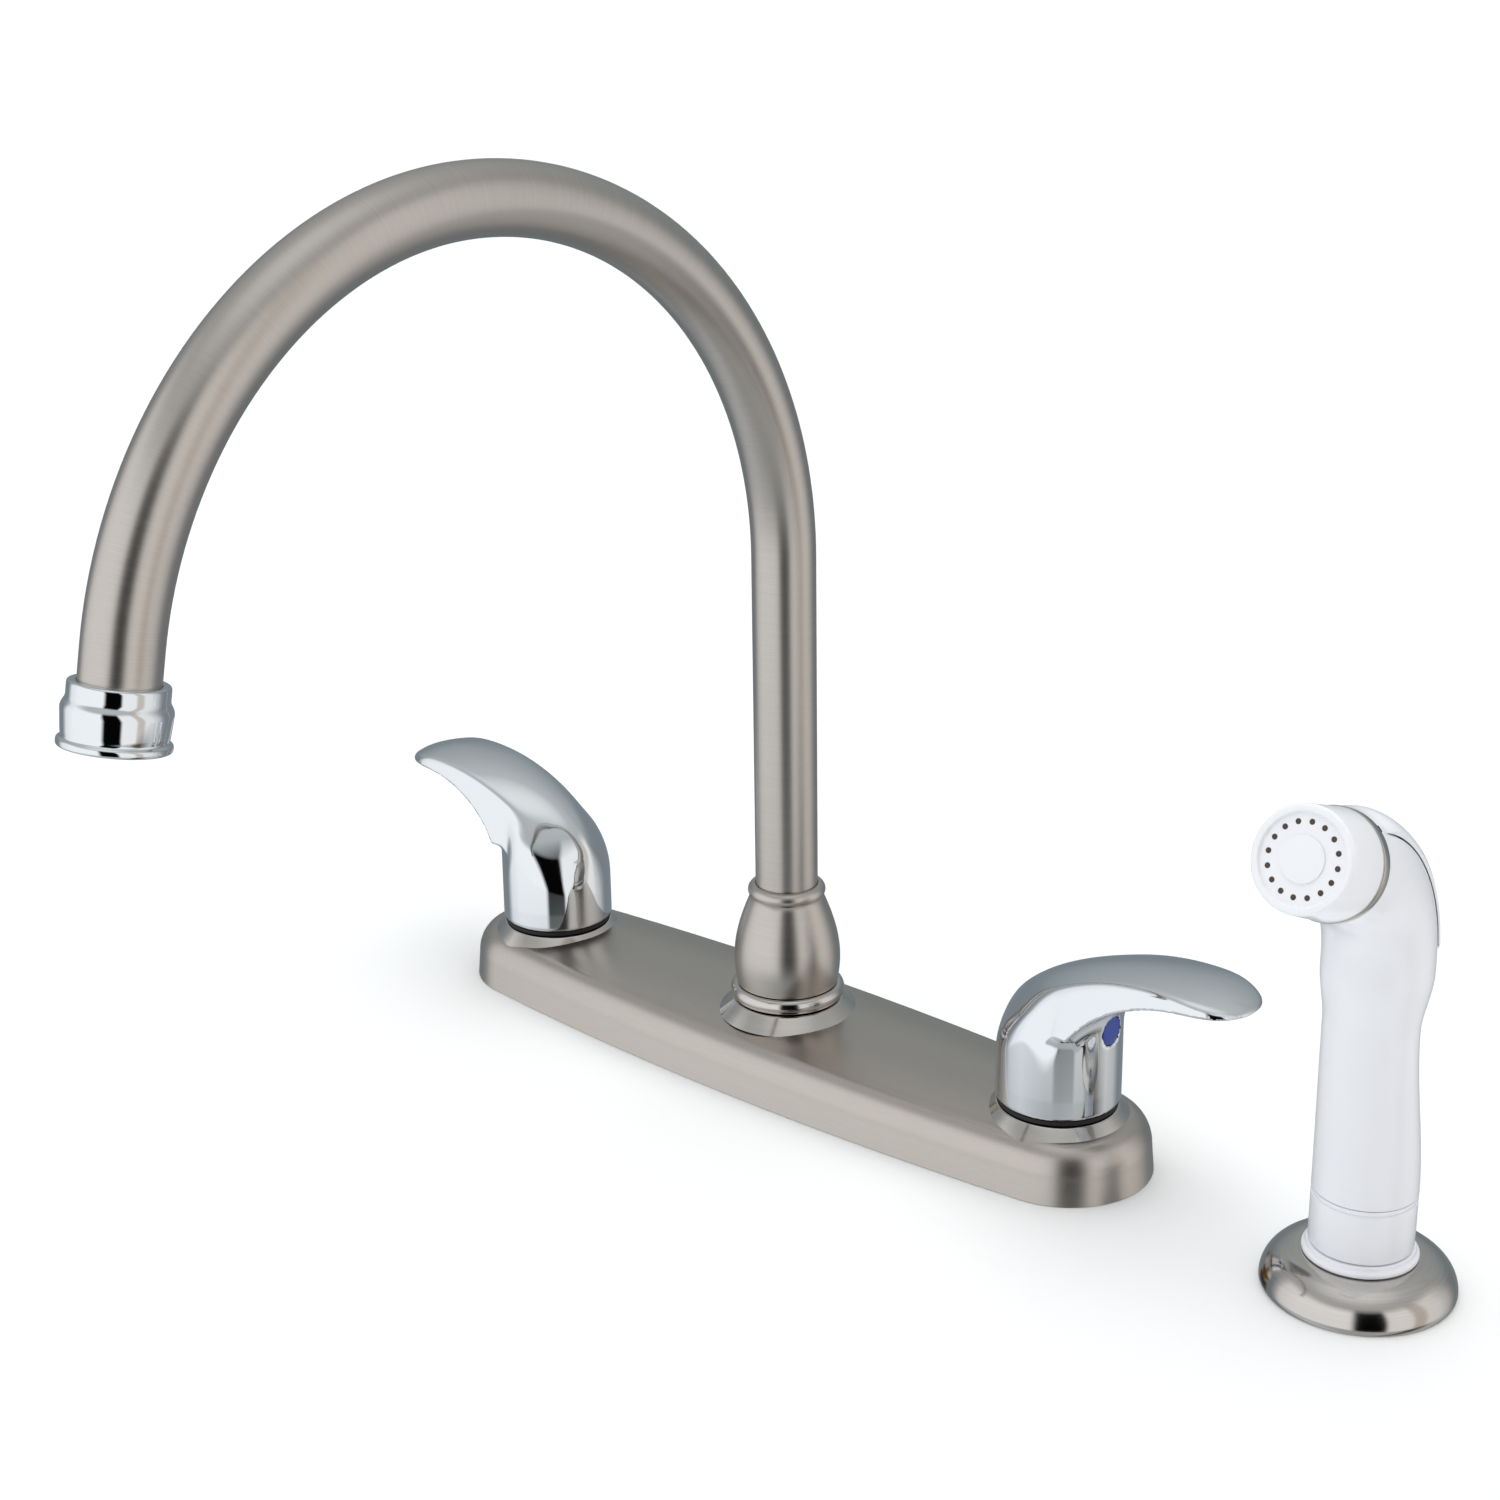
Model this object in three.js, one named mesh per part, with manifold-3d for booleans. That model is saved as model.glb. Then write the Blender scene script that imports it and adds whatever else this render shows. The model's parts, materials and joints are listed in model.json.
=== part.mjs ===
// Two-handle gooseneck kitchen faucet with a side spray, for four deck holes on 4 in centres.
// Millimetres, +Z up. X runs along the handles, the spout reaches towards -Y and the origin is the
// centre of the deck plate on the worktop's top face.
import * as THREE from 'three';
import { mergeVertices, toCreasedNormals } from 'three/addons/utils/BufferGeometryUtils.js';
import Module from 'manifold-3d';

const wasm = await Module();
wasm.setup();

// ---------------------------------------------------------------- driving dimensions
const INCH = 25.4;
const GAP = 0.3; // between pieces that rest on or beside each other
const RUN = 0.1; // radial clearance of a pin in its bore
const ROUND = 24; // sides of a turned piece that shows
const HIDDEN = 16; // sides of one inside or under the deck
const FINE = 12; // sides of a small one

// Deck holes: hot, spout, cold and spray, one pitch apart.
const HOLE_PITCH = 4 * INCH;
const SPRAY_SHIFT_X = -3.0; // the spray stands a little off its hole's centre
const SPRAY_SHIFT_Y = -3.5;
const CLAMP_DEPTH = 25; // worktop and washer room under the deck plate

// Deck plate: a shell with bowed sides, round ends, a drafted wall and a crowned top.
const PLATE_HALF_WIDTH = 31.1;
const PLATE_BOW_RADIUS = 1033;
const PLATE_END_OVERHANG = 2.8; // end arc's centre beyond the handle axis
const PLATE_SHOULDER = 16.6; // height where the edge round ends
const PLATE_CROWN = 1.6;
const PLATE_DRAFT = 0.7;
const PLATE_ROUND_DEPTH = 6.7; // edge round, measured inwards
const PLATE_ROUND_HEIGHT = 9.0;
const PLATE_WALL = 2.2;
const PLATE_SHELF = 24; // inset of the level strip along the middle

// Seats that carry the handles and the spout on the plate.
const SEAT_SLOPE_DROP = 7; // how far a seat's cone runs down into the plate
const HANDLE_SEAT_RISE = 3.0;
const HANDLE_SEAT_INSET = 0.4; // its rim inside the handle's side
const HANDLE_SEAT_FLARE = 3.0;
const SPOUT_SEAT_RISE = 3.6;
const SPOUT_SEAT_TOP_R = 16.8;
const SPOUT_SEAT_FOOT_R = 20.8;

// Base insert and waterway under the plate.
const INSERT_THICK = 1.2;
const WAY_COLUMN_R = 13.2;
const WAY_NECK_WALL = 2.8;
const WAY_BAR_R = 5.9;
const WAY_NECK_RISE = 4.4; // neck above the handle seat, threaded for its nut
const WAY_HEIGHT = 13.6;
const VALVE_FLOOR = 4; // floors of the valve bores and of the spout column's bore
const COLUMN_FLOOR = 3;
const SUPPLY_BORE_R = 5.5;
const SHANK_R = 10.2;
const SHANK_LENGTH = 52;
const SPRAY_OUTLET_R = 6.7;
const SPRAY_OUTLET_BORE_R = 4.5;
const SPRAY_OUTLET_LENGTH = 42;
const SPRAY_OUTLET_HEX = 17;
const OUTLET_HEX_DEPTH = 3; // its hexagon's top below the worktop's face
const OUTLET_HEX_HEIGHT = 6;
const WASHER_R = 19;
const WASHER_THICK = 2;
const LOCKNUT_R = 16;
const LOCKNUT_HEIGHT = 10;
const LOCKNUT_WING = 23; // reach of a wing from the axis
const LOCKNUT_WING_THICK = 4;

// Valve cartridge, stem and bonnet nut.
const BONNET_WALL = 1.1; // between its bore and a flat
const BONNET_HEIGHT = 3.6;
const CARTRIDGE_INSET = 0.4; // its hexagon's corners inside the neck's rim
const CARTRIDGE_HEX_HEIGHT = 3.5;
const CARTRIDGE_NECK_R = 6.2;
const CARTRIDGE_NECK_HEIGHT = 3;
const STEM_SEAT_RUN = 0.15; // round the stem in the cartridge
const STEM_R = 4.0;
const STEM_FLAT = 0.8;
const STEM_TOP = 30; // above the handle's foot
const STEM_FOOT_DEPTH = 10; // stem inside the cartridge

// Handle: a turned body whose top runs out into a lever. Heights are above the handle's foot,
// reaches are from the handle's axis.
const GASKET_THICK = 1.4;
const GASKET_INSET = 0.5; // its edge inside the handle's side
const HANDLE_R = 18.0;
const HANDLE_TAPER = 0.3; // fall of the body's radius up to its top
const HANDLE_FOOT_CHAMFER = 0.8;
const HANDLE_STRAIGHT = 6; // height where the body's taper begins
const HANDLE_SIDES = 28;
const HANDLE_WALL = 2.3;
const HANDLE_CAVITY = 17; // height of the hollow above the foot
const HANDLE_BOSS_R = 8;
const LEVER_HEEL = 19.5; // top arc starts this far behind the axis
const LEVER_CREST_REACH = 42;
const LEVER_CREST = 49.4;
const LEVER_SPRING = 14.4; // where the top's rear arc starts
const LEVER_TIP_REACH = 63.2;
const LEVER_DROOP = 8; // fall of the top from crest to tip
const LEVER_HALF_WIDTH = 13; // between the axis plane and the crease
const LEVER_TIP_ROUND = 17; // length over which the plan rounds off to the tip
const CREASE_DROP = 1.7; // crease below the crest
const CREASE_SPRING = -2.2; // where the crease's rear arc starts
const FLANK_LEAN = 0.25; // sideways lean of the flank below the crease, mm per mm
const FLANK_HEEL_LEAN = 0.75; // added at the heel
const UNDER_START = 8; // underside arc: first reach, last reach, heights
const UNDER_CREST_REACH = 50;
const UNDER_SPRING = 9.2;
const UNDER_CREST = 44.0;
const UNDER_FLOOR = 26; // where the lever leaves the turned body
const INDEX_HEIGHT = 24.9; // index button and grub screw above the foot
const INDEX_R = 4.2;
const INDEX_DEPTH = 3.4;
const INDEX_SUNK = 0.7; // its rim below the body's side
const INDEX_DOME = 0.5;
const GRUB_R = 2.5;
const GRUB_LENGTH = 7;

// Spout: hub, swivelling tube and its bell-shaped collar.
const TUBE_R = 0.375 * INCH;
const TUBE_WALL = 1.2;
const HUB_R = 12.4;
const HUB_HEIGHT = 24; // above the seat
const HUB_SPIGOT_R = 10;
const COLUMN_BORE_R = 10.3;
const TUBE_ENTRY = 5; // tube's foot above the seat
const ORING_SECTION = 0.75;
const ORING_FIRST = 6; // above the tube's foot
const ORING_STEP = 5;
const RING_HEIGHT = 4.8;
const RING_R = 17.6;
const BELL_FOOT_R = 15.6;
const BELL_BULGE_R = 16.35;
const BELL_BULGE_HEIGHT = 8;
const BELL_NECK_R = 11.4;
const BELL_HEIGHT = 28;
const BEAD_OUT = 0.5; // reach of the bead beyond the bell's neck
const BEAD_R = 2.2;
const RISER_TOP = 162.5; // straight part of the tube ends here
const ARCH_RISE = 115.4;
const ARCH_REAR_REACH = 119.05;
const ARCH_FRONT_R = 111.2;
const ARCH_FRONT_ANGLE = 77.7;
const ARCH_STEPS = 11;
const TUBE_END = 7.5; // straight tube between the arch and the aerator
const TUBE_SIDES = 18;

// Diverter in the hub.
const DIVERTER_R = 8.4;
const DIVERTER_BORE_R = 8.9;
const DIVERTER_HEIGHT = 17;
const DIVERTER_NOSE = 4; // narrow top
const DIVERTER_NOSE_R = 5;

// Aerator on the spout's end: heights run down from the shell's top edge.
const AERATOR_LENGTH = 15.2;
const AERATOR_GRIP = 4; // how far the shell's top covers the tube's end
const AERATOR_COLLAR_R = 11.7;
const AERATOR_COLLAR_FOOT = 4;
const AERATOR_BODY_R = 12.8;
const AERATOR_BODY_TOP = 5.8;
const AERATOR_BODY_FOOT_R = 12.3;
const AERATOR_GROOVE = 1.7; // width of the groove between the body and the lip
const AERATOR_GROOVE_R = 12.1;
const AERATOR_LIP_R = 13.1;
const AERATOR_LIP_HEIGHT = 1.7;
const AERATOR_EDGE = 0.6;
const AERATOR_WALL = 1.6;
const AERATOR_MOUTH_R = 9.6;
const AERATOR_LEDGE = 2.2; // thickness of the inward lip at the mouth
const AERATOR_WASHER = 2;
const WASHER_BORE_R = 6.5;
const SCREEN_WALL = 1.4;
const SCREEN_DEPTH = 2;
const SCREEN_BAR = 1.0;
const SCREEN_PITCH = 4.8;
const SCREEN_BARS = 3;

// Spray holder.
const FLANGE_R = 25.8;
const FLANGE_HEIGHT = 10;
const FLANGE_PLAY = 0.8; // round the holder's tube
const FLANGE_BELT = 0.8; // height of its widest section
const FLANGE_REVEAL = 0.45; // level rim that shows round the holder's lip
const FLANGE_EDGE = 0.4;
const FLANGE_SIDES = 30;
const HOLDER_TUBE_R = 13.4;
const HOLDER_BORE_R = 11.4;
const HOLDER_LIP = 1.8; // reach of its lip beyond the tube
const HOLDER_LIP_EDGE = 0.9;
const HOLDER_HEIGHT = 13;
const HOLDER_LENGTH = 46;
const HOLDER_NUT_HEX = 34;
const HOLDER_NUT_HEIGHT = 8;
const HOLDER_WASHER_R = 21;

// Spray wand: a hand grip that turns over into the spray head.
const WAND_R = 13.7;
const SLEEVE_HEIGHT = 14.2;
const SLEEVE_EDGE = 0.6;
const SLEEVE_SEAM = 1.7; // height of the narrow band over the sleeve
const SEAM_GROOVE = 0.35;
const NOSE_R = 10.9;
const NOSE_LENGTH = 20.6;
const SOCKET_HEX = 16;
const SOCKET_LENGTH = 12;
const SOCKET_BORE_R = 5.2;
const WAIST_HEIGHT = 77; // narrowest part of the grip
const WAIST_SHIFT = -3.7; // its centre, towards the front
const WAIST_HALF_WIDTH = 12.5;
const WAIST_HALF_DEPTH = 10.7;
const SHOULDER_HEIGHT = 92;
const SHOULDER_SHIFT = -2.6;
const SHOULDER_HALF_WIDTH = 14.1;
const SHOULDER_HALF_DEPTH = 14.4;
const ELBOW_START = 95.4;
const ELBOW_R = 33;
const HEAD_TILT = 22; // spray axis above level
const HEAD_STRAIGHT = 6.5; // from the elbow to the metal ring
const HEAD_R = 14.0;
const HEAD_RING_R = 14.15;
const HEAD_RING_WIDTH = 1.5;
const HEAD_RING_EDGE = 0.4;
const HEAD_CAP_LENGTH = 15.3;
const HEAD_CAP_R = 13.9;
const HEAD_CAP_FRONT_R = 13.25;
const HEAD_CAP_ROUND = 1.9;
const FACE_DISH = 0.8; // depth of the dished face inside its rim
const FACE_DISH_SLOPE = 0.35;
const NOZZLE_CIRCLE_R = 9.07;
const NOZZLE_COUNT = 16;
const NOZZLE_R = 0.65;
const NOZZLE_DEPTH = 2;
const DISC_R = 5.7;
const DISC_RISE = 0.45; // above the dished face
const DISC_SEAT = 1.5;

// Trigger on the back of the head.
const TRIGGER_HALF_WIDTH = 8;
const TRIGGER_THICK = 3.2;
const TRIGGER_EDGE = 2.3;
const TRIGGER_PROUD = 0.8; // above the wand's back
const TRIGGER_END = 94.5; // height of its free end
const TRIGGER_TRAVEL = 4.5; // room inwards at the free end
const TRIGGER_END_ROOM = 3.4; // room beyond it
const TRIGGER_PIVOT_BACK = 5; // pivot behind the metal ring
const TRIGGER_PIVOT_OUT = 8.8; // pivot off the head's axis
const TRIGGER_HUB_R = 3.4;
const TRIGGER_HUB_HALF = 5.5;
const TRIGGER_PIN_R = 1.3;
const TRIGGER_PIN_HALF = 8.4;
const PLUNGER_R = 2;
const PLUNGER_LENGTH = 10;
const PLUNGER_ROOM = 3; // bore below it
const PLUNGER_ANGLE = 38; // round the elbow from the upright grip

// ---------------------------------------------------------------- solid modelling helpers
const V = (x, y, z) => new THREE.Vector3(x, y, z);
const mix = THREE.MathUtils.lerp;
const rad = THREE.MathUtils.degToRad;
const smooth = (t) => THREE.MathUtils.smoothstep(t, 0, 1);

// Closed geometry to a manifold solid: shared corners merged, empty triangles dropped, faces out.
function solid(geometry) {
  const bare = geometry.clone();
  for (const name of Object.keys(bare.attributes)) if (name !== 'position') bare.deleteAttribute(name);
  const merged = mergeVertices(bare, 1e-4);
  const corners = merged.index.array;
  const kept = [];
  for (let i = 0; i < corners.length; i += 3) {
    const [a, b, c] = [corners[i], corners[i + 1], corners[i + 2]];
    if (a !== b && b !== c && c !== a) kept.push(a, b, c);
  }
  const vertProperties = new Float32Array(merged.attributes.position.array);
  const build = (tris) => new wasm.Manifold(new wasm.Mesh({
    numProp: 3, vertProperties, triVerts: new Uint32Array(tris),
  }));
  const body = build(kept);
  return body.volume() > 0 ? body : build(kept.reverse());
}

// Piece turned about Z from [radius, height] points; a ring's profile closes on itself.
function turned(profile, sides = ROUND) {
  const closed = profile.every(([r]) => r > 0) ? [...profile, profile[0]] : profile;
  const lathe = new THREE.LatheGeometry(closed.map(([r, z]) => new THREE.Vector2(r, z)), sides);
  return solid(lathe.rotateX(Math.PI / 2));
}
const rod = (r, z0, z1, sides = ROUND) => turned([[0, z0], [r, z0], [r, z1], [0, z1]], sides);
const sleeve = (r0, r1, z0, z1, sides = ROUND) => turned([[r0, z0], [r1, z0], [r1, z1], [r0, z1]], sides);

// Prism of a shape in XY between two heights.
function prism(shape, z0, z1) {
  return solid(new THREE.ExtrudeGeometry(shape, { depth: z1 - z0, bevelEnabled: false }).translate(0, 0, z0));
}
function polygon(points) {
  return new THREE.Shape(points.map(([x, y]) => new THREE.Vector2(x, y)));
}
function hexagon(acrossFlats) {
  const corner = acrossFlats / Math.sqrt(3);
  const turns = Array.from({ length: 6 }, (_, i) => i * Math.PI / 3);
  return polygon(turns.map((a) => [corner * Math.cos(a), corner * Math.sin(a)]));
}
const hexPrism = (flats, z0, z1) => prism(hexagon(flats), z0, z1);
const slab = (halfX, halfY, z0, z1) => prism(polygon([[-halfX, -halfY], [halfX, -halfY], [halfX, halfY],
  [-halfX, halfY]]), z0, z1);

// Skin through rings of equal point counts, closed by a fan at each end.
function loft(rings) {
  const count = rings[0].length;
  const points = rings.flat();
  const tris = [];
  for (let k = 0; k + 1 < rings.length; k++) {
    for (let i = 0; i < count; i++) {
      const a = k * count + i, b = k * count + (i + 1) % count;
      tris.push(a, b, b + count, a, b + count, a + count);
    }
  }
  for (const [ring, flip] of [[0, true], [rings.length - 1, false]]) {
    const middle = rings[ring].reduce((sum, p) => sum.add(p), V(0, 0, 0)).divideScalar(count);
    const hub = points.push(middle) - 1;
    for (let i = 0; i < count; i++) {
      const a = ring * count + i, b = ring * count + (i + 1) % count;
      tris.push(...(flip ? [hub, b, a] : [hub, a, b]));
    }
  }
  const skin = new THREE.BufferGeometry().setFromPoints(points);
  skin.setIndex(tris);
  return solid(skin);
}

// Round tube along a path that lies in the plane x = 0.
function bentRod(path, radius, sides) {
  const rings = path.map(({ point, angle }) => Array.from({ length: sides }, (_, i) => {
    const turn = 2 * Math.PI * i / sides;
    const out = radius * Math.cos(turn);
    return V(radius * Math.sin(turn), point.y + out * Math.cos(angle), point.z + out * Math.sin(angle));
  }));
  return loft(rings);
}

const union = (first, ...rest) => rest.reduce((sum, next) => sum.add(next), first);
const cut = (first, ...rest) => rest.reduce((left, next) => left.subtract(next), first);
const moved = (body, x, y, z) => body.translate([x, y, z]);
const tipped = (body, degrees) => body.rotate([degrees, 0, 0]); // about X
const spun = (body, degrees) => body.rotate([0, 0, degrees]); // about Z

const faucet = new THREE.Group();
faucet.name = 'side_spray_faucet';

function add(name, body, look) {
  const mesh = body.getMesh();
  const geometry = new THREE.BufferGeometry();
  geometry.setAttribute('position', new THREE.BufferAttribute(Float32Array.from(mesh.vertProperties), 3));
  geometry.setIndex(Array.from(mesh.triVerts));
  const piece = new THREE.Mesh(toCreasedNormals(geometry, rad(35)), look.clone());
  piece.name = name;
  faucet.add(piece);
}

const look = (color, metalness, roughness) => new THREE.MeshStandardMaterial({ color, metalness, roughness });
const NICKEL = look(0xb9b0a6, 1, 0.34);
const CHROME = look(0xd6dadd, 1, 0.08);
const BRASS = look(0xb58d46, 1, 0.4);
const RUBBER = look(0x1c1c1e, 0, 0.8);
const WHITE = look(0xf2f3f5, 0, 0.25);
const GREY_PLASTIC = look(0x55585c, 0, 0.6);
const STEEL = look(0x9a9da0, 1, 0.35);
const RED = look(0xb3202a, 0, 0.3);
const BLUE = look(0x1f3fae, 0, 0.3);

// ---------------------------------------------------------------- levels shared by the pieces
const HANDLES = [
  { side: 'hot', x: -HOLE_PITCH, outward: 180, index: RED },
  { side: 'cold', x: HOLE_PITCH, outward: 0, index: BLUE },
];
const cavityR = HANDLE_R - HANDLE_WALL; // hollow of a handle, over the bonnet nut
const handleSeatR = HANDLE_R - HANDLE_SEAT_INSET;
const bonnetHex = (cavityR - 2 * GAP) * Math.sqrt(3); // corners clear of the hollow
const wayNeckR = bonnetHex / 2 - BONNET_WALL - RUN;
const valveBoreR = wayNeckR - WAY_NECK_WALL;
const cartridgeHex = (wayNeckR - CARTRIDGE_INSET) * Math.sqrt(3);
const atHandles = (body) => HANDLES.map(({ x }) => moved(body, x, 0, 0));
const plateTop = PLATE_SHOULDER + PLATE_CROWN;
const handleSeat = PLATE_SHOULDER + HANDLE_SEAT_RISE;
const handleFoot = handleSeat + GAP + GASKET_THICK + GAP;
const spoutSeat = plateTop + SPOUT_SEAT_RISE;
const waysFoot = INSERT_THICK + GAP;
const valveFloor = waysFoot + VALVE_FLOOR;
const columnFloor = waysFoot + COLUMN_FLOOR;
const neckTop = handleSeat + WAY_NECK_RISE;
const nutTop = -CLAMP_DEPTH - WASHER_THICK - GAP; // nuts under the worktop

// ---------------------------------------------------------------- deck plate and what is under it
const endX = HOLE_PITCH + PLATE_END_OVERHANG;
const bowCentreY = PLATE_HALF_WIDTH - PLATE_BOW_RADIUS;
const endR = PLATE_BOW_RADIUS - Math.hypot(endX, bowCentreY);

// Plan outline of the plate, drawn in by an inset: two bowed sides tangent to two end arcs.
function plateOutline(inset) {
  const toEnd = Math.atan2(endX, -bowCentreY); // direction from the bow's centre to the end arc's
  const [bow, end] = [PLATE_BOW_RADIUS - inset, endR - inset];
  const points = [];
  for (const half of [1, -1]) { // the second half is the first one turned round
    const put = (x, y) => points.push([half * x, half * y]);
    for (let i = 0; i < 9; i++) { // end arc, from the front side round to the back side
      const a = mix(-Math.PI / 2 + toEnd, Math.PI / 2 - toEnd, i / 9);
      put(endX + end * Math.cos(a), end * Math.sin(a));
    }
    for (let i = 0; i < 6; i++) { // bowed back side
      const a = mix(toEnd, -toEnd, i / 6);
      put(bow * Math.sin(a), bowCentreY + bow * Math.cos(a));
    }
  }
  return points;
}

// Section of the plate's edge as [inset, height]: drafted wall, elliptical round, crown.
function plateSection(wall) {
  const section = [[wall, wall > 0 ? -1 : 0]];
  const steps = wall > 0 ? 3 : 4;
  for (let i = 0; i <= steps; i++) {
    const a = i / steps * Math.PI / 2;
    section.push([wall + PLATE_DRAFT + PLATE_ROUND_DEPTH * (1 - Math.cos(a)),
      PLATE_SHOULDER - wall - PLATE_ROUND_HEIGHT * (1 - Math.sin(a))]);
  }
  const [rim] = section.at(-1);
  section.push([mix(rim, PLATE_SHELF, 0.35), PLATE_SHOULDER - wall + PLATE_CROWN * 0.6]);
  section.push([PLATE_SHELF, plateTop - wall]);
  return section;
}
const plateRing = (inset, z) => plateOutline(inset).map(([x, y]) => V(x, y, z));
const plateSkin = (wall) => loft(plateSection(wall).map(([inset, z]) => plateRing(inset, z)));

function seatCone(topR, footR, top, rise) {
  const flare = (footR - topR) / rise * SEAT_SLOPE_DROP;
  return turned([[0, top - SEAT_SLOPE_DROP], [topR + flare, top - SEAT_SLOPE_DROP], [topR, top], [0, top]]);
}

function deckPlate() {
  const handleCone = seatCone(handleSeatR, handleSeatR + HANDLE_SEAT_FLARE, handleSeat, HANDLE_SEAT_RISE);
  const spoutCone = seatCone(SPOUT_SEAT_TOP_R, SPOUT_SEAT_FOOT_R, spoutSeat, SPOUT_SEAT_RISE);
  const neckHole = rod(wayNeckR + GAP, 0, spoutSeat + 1, HIDDEN);
  const outside = union(plateSkin(0), spoutCone, ...atHandles(handleCone));
  const hubHole = rod(HUB_R + GAP, 0, spoutSeat + 1, HIDDEN);
  return cut(outside, plateSkin(PLATE_WALL), hubHole, ...atHandles(neckHole));
}

function baseInsert() {
  const outline = polygon(plateOutline(PLATE_WALL + 2 * GAP));
  const shankHole = rod(SHANK_R + GAP, -1, INSERT_THICK + 1, HIDDEN);
  const outletHole = rod(SPRAY_OUTLET_R + GAP, -1, INSERT_THICK + 1, FINE);
  return cut(prism(outline, 0, INSERT_THICK), outletHole, ...atHandles(shankHole));
}

// Brass waterway: a cross bar that joins two valve columns and the spout column.
function waterway() {
  const bar = spun(tipped(rod(WAY_BAR_R, -HOLE_PITCH, HOLE_PITCH, FINE), 90), 90);
  const column = rod(WAY_COLUMN_R, waysFoot, WAY_HEIGHT, HIDDEN);
  const valveColumn = union(column, rod(wayNeckR, WAY_HEIGHT - 1, neckTop, HIDDEN));
  const valveBore = union(rod(valveBoreR, valveFloor, neckTop + 1, HIDDEN),
    rod(SUPPLY_BORE_R, 0, valveFloor + 1, FINE));
  const outside = union(moved(bar, 0, 0, waysFoot + WAY_BAR_R), column, ...atHandles(valveColumn));
  return cut(outside, rod(COLUMN_BORE_R, columnFloor, spoutSeat, HIDDEN),
    rod(SPRAY_OUTLET_BORE_R, 0, columnFloor + 1, FINE), ...atHandles(valveBore));
}

const shank = () => sleeve(SUPPLY_BORE_R, SHANK_R, -SHANK_LENGTH, INSERT_THICK, HIDDEN);
const washer = (outer, inner) => sleeve(inner, outer, -CLAMP_DEPTH - WASHER_THICK, -CLAMP_DEPTH, HIDDEN);

function lockNut() {
  const foot = nutTop - LOCKNUT_HEIGHT;
  const wings = slab(LOCKNUT_WING, LOCKNUT_WING_THICK / 2, foot, nutTop - 1);
  const body = union(rod(LOCKNUT_R, foot, nutTop, HIDDEN), spun(wings, 45));
  return cut(body, rod(SHANK_R + GAP, foot - 1, nutTop + 1, HIDDEN));
}

function sprayOutlet() {
  const body = union(rod(SPRAY_OUTLET_R, -SPRAY_OUTLET_LENGTH, INSERT_THICK, FINE),
    hexPrism(SPRAY_OUTLET_HEX, -OUTLET_HEX_DEPTH - OUTLET_HEX_HEIGHT, -OUTLET_HEX_DEPTH));
  return cut(body, rod(SPRAY_OUTLET_BORE_R, -SPRAY_OUTLET_LENGTH - 1, INSERT_THICK + 1, FINE));
}

add('deck_plate', deckPlate(), NICKEL);
add('base_insert', baseInsert(), GREY_PLASTIC);
add('waterway_body', waterway(), BRASS);
add('spray_outlet', sprayOutlet(), BRASS);
for (const { side, x } of HANDLES) {
  add(`inlet_shank_${side}`, moved(shank(), x, 0, 0), BRASS);
  add(`shank_washer_${side}`, moved(washer(WASHER_R, SHANK_R + GAP), x, 0, 0), GREY_PLASTIC);
  add(`shank_nut_${side}`, moved(lockNut(), x, 0, 0), GREY_PLASTIC);
}

// ---------------------------------------------------------------- valves
const cartridgeFoot = valveFloor + GAP;
const cartridgeTop = neckTop + GAP + CARTRIDGE_HEX_HEIGHT + CARTRIDGE_NECK_HEIGHT;
const stemFoot = neckTop - STEM_FOOT_DEPTH;

function cartridge() {
  const body = union(rod(valveBoreR - GAP, cartridgeFoot, neckTop + 1, HIDDEN),
    hexPrism(cartridgeHex, neckTop + GAP, neckTop + GAP + CARTRIDGE_HEX_HEIGHT),
    rod(CARTRIDGE_NECK_R, neckTop + 1, cartridgeTop, FINE));
  return cut(body, rod(STEM_R + STEM_SEAT_RUN, stemFoot - GAP, cartridgeTop + 1, FINE));
}

// Stem with two flats for the handle's bore.
function stem(grow = 0) {
  const r = STEM_R + grow;
  const flat = STEM_R - STEM_FLAT + grow;
  const top = handleFoot + STEM_TOP + grow;
  const flatFoot = cartridgeTop + GAP;
  const flatted = rod(r, flatFoot, top, FINE).intersect(slab(flat, 2 * r, flatFoot, top + 1));
  return union(rod(r, stemFoot, flatFoot, FINE), flatted);
}

function bonnetNut() {
  const nut = hexPrism(bonnetHex, handleSeat + GAP, handleSeat + GAP + BONNET_HEIGHT);
  return cut(nut, rod(wayNeckR + RUN, handleSeat, handleSeat + BONNET_HEIGHT + 1, HIDDEN));
}

// ---------------------------------------------------------------- handles
const leverTaper = LEVER_TIP_REACH - LEVER_TIP_ROUND; // reach where the plan starts to round off

// Quarter-ellipse rise from a spring line to a crest, measured along the lever.
function rise(reach, start, crestReach, spring, crest) {
  const t = THREE.MathUtils.clamp((crestReach - reach) / (crestReach - start), 0, 1);
  return mix(spring, crest, Math.sqrt(1 - t * t));
}
function droop(reach) {
  const past = (reach - LEVER_CREST_REACH) / (LEVER_TIP_REACH + 2 * RUN - LEVER_CREST_REACH);
  const t = THREE.MathUtils.clamp(past, 0, 1);
  return LEVER_DROOP * (1 - Math.sqrt(1 - t * t));
}
const topLine = (s) => rise(s, -LEVER_HEEL, LEVER_CREST_REACH, LEVER_SPRING, LEVER_CREST) - droop(s);
const creaseCrest = LEVER_CREST - CREASE_DROP;
const creaseLine = (s) => rise(s, -LEVER_HEEL, LEVER_CREST_REACH, CREASE_SPRING, creaseCrest) - droop(s) * 0.9;
const underArc = (s) => rise(s, UNDER_START, UNDER_CREST_REACH, UNDER_SPRING, UNDER_CREST);
const underLine = (s) => Math.max(UNDER_FLOOR, underArc(s));
function halfWidth(s) {
  const t = THREE.MathUtils.clamp((s - leverTaper) / (LEVER_TIP_ROUND + 2 * RUN), 0, 1);
  return LEVER_HALF_WIDTH * Math.sqrt(1 - t * t);
}

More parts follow.
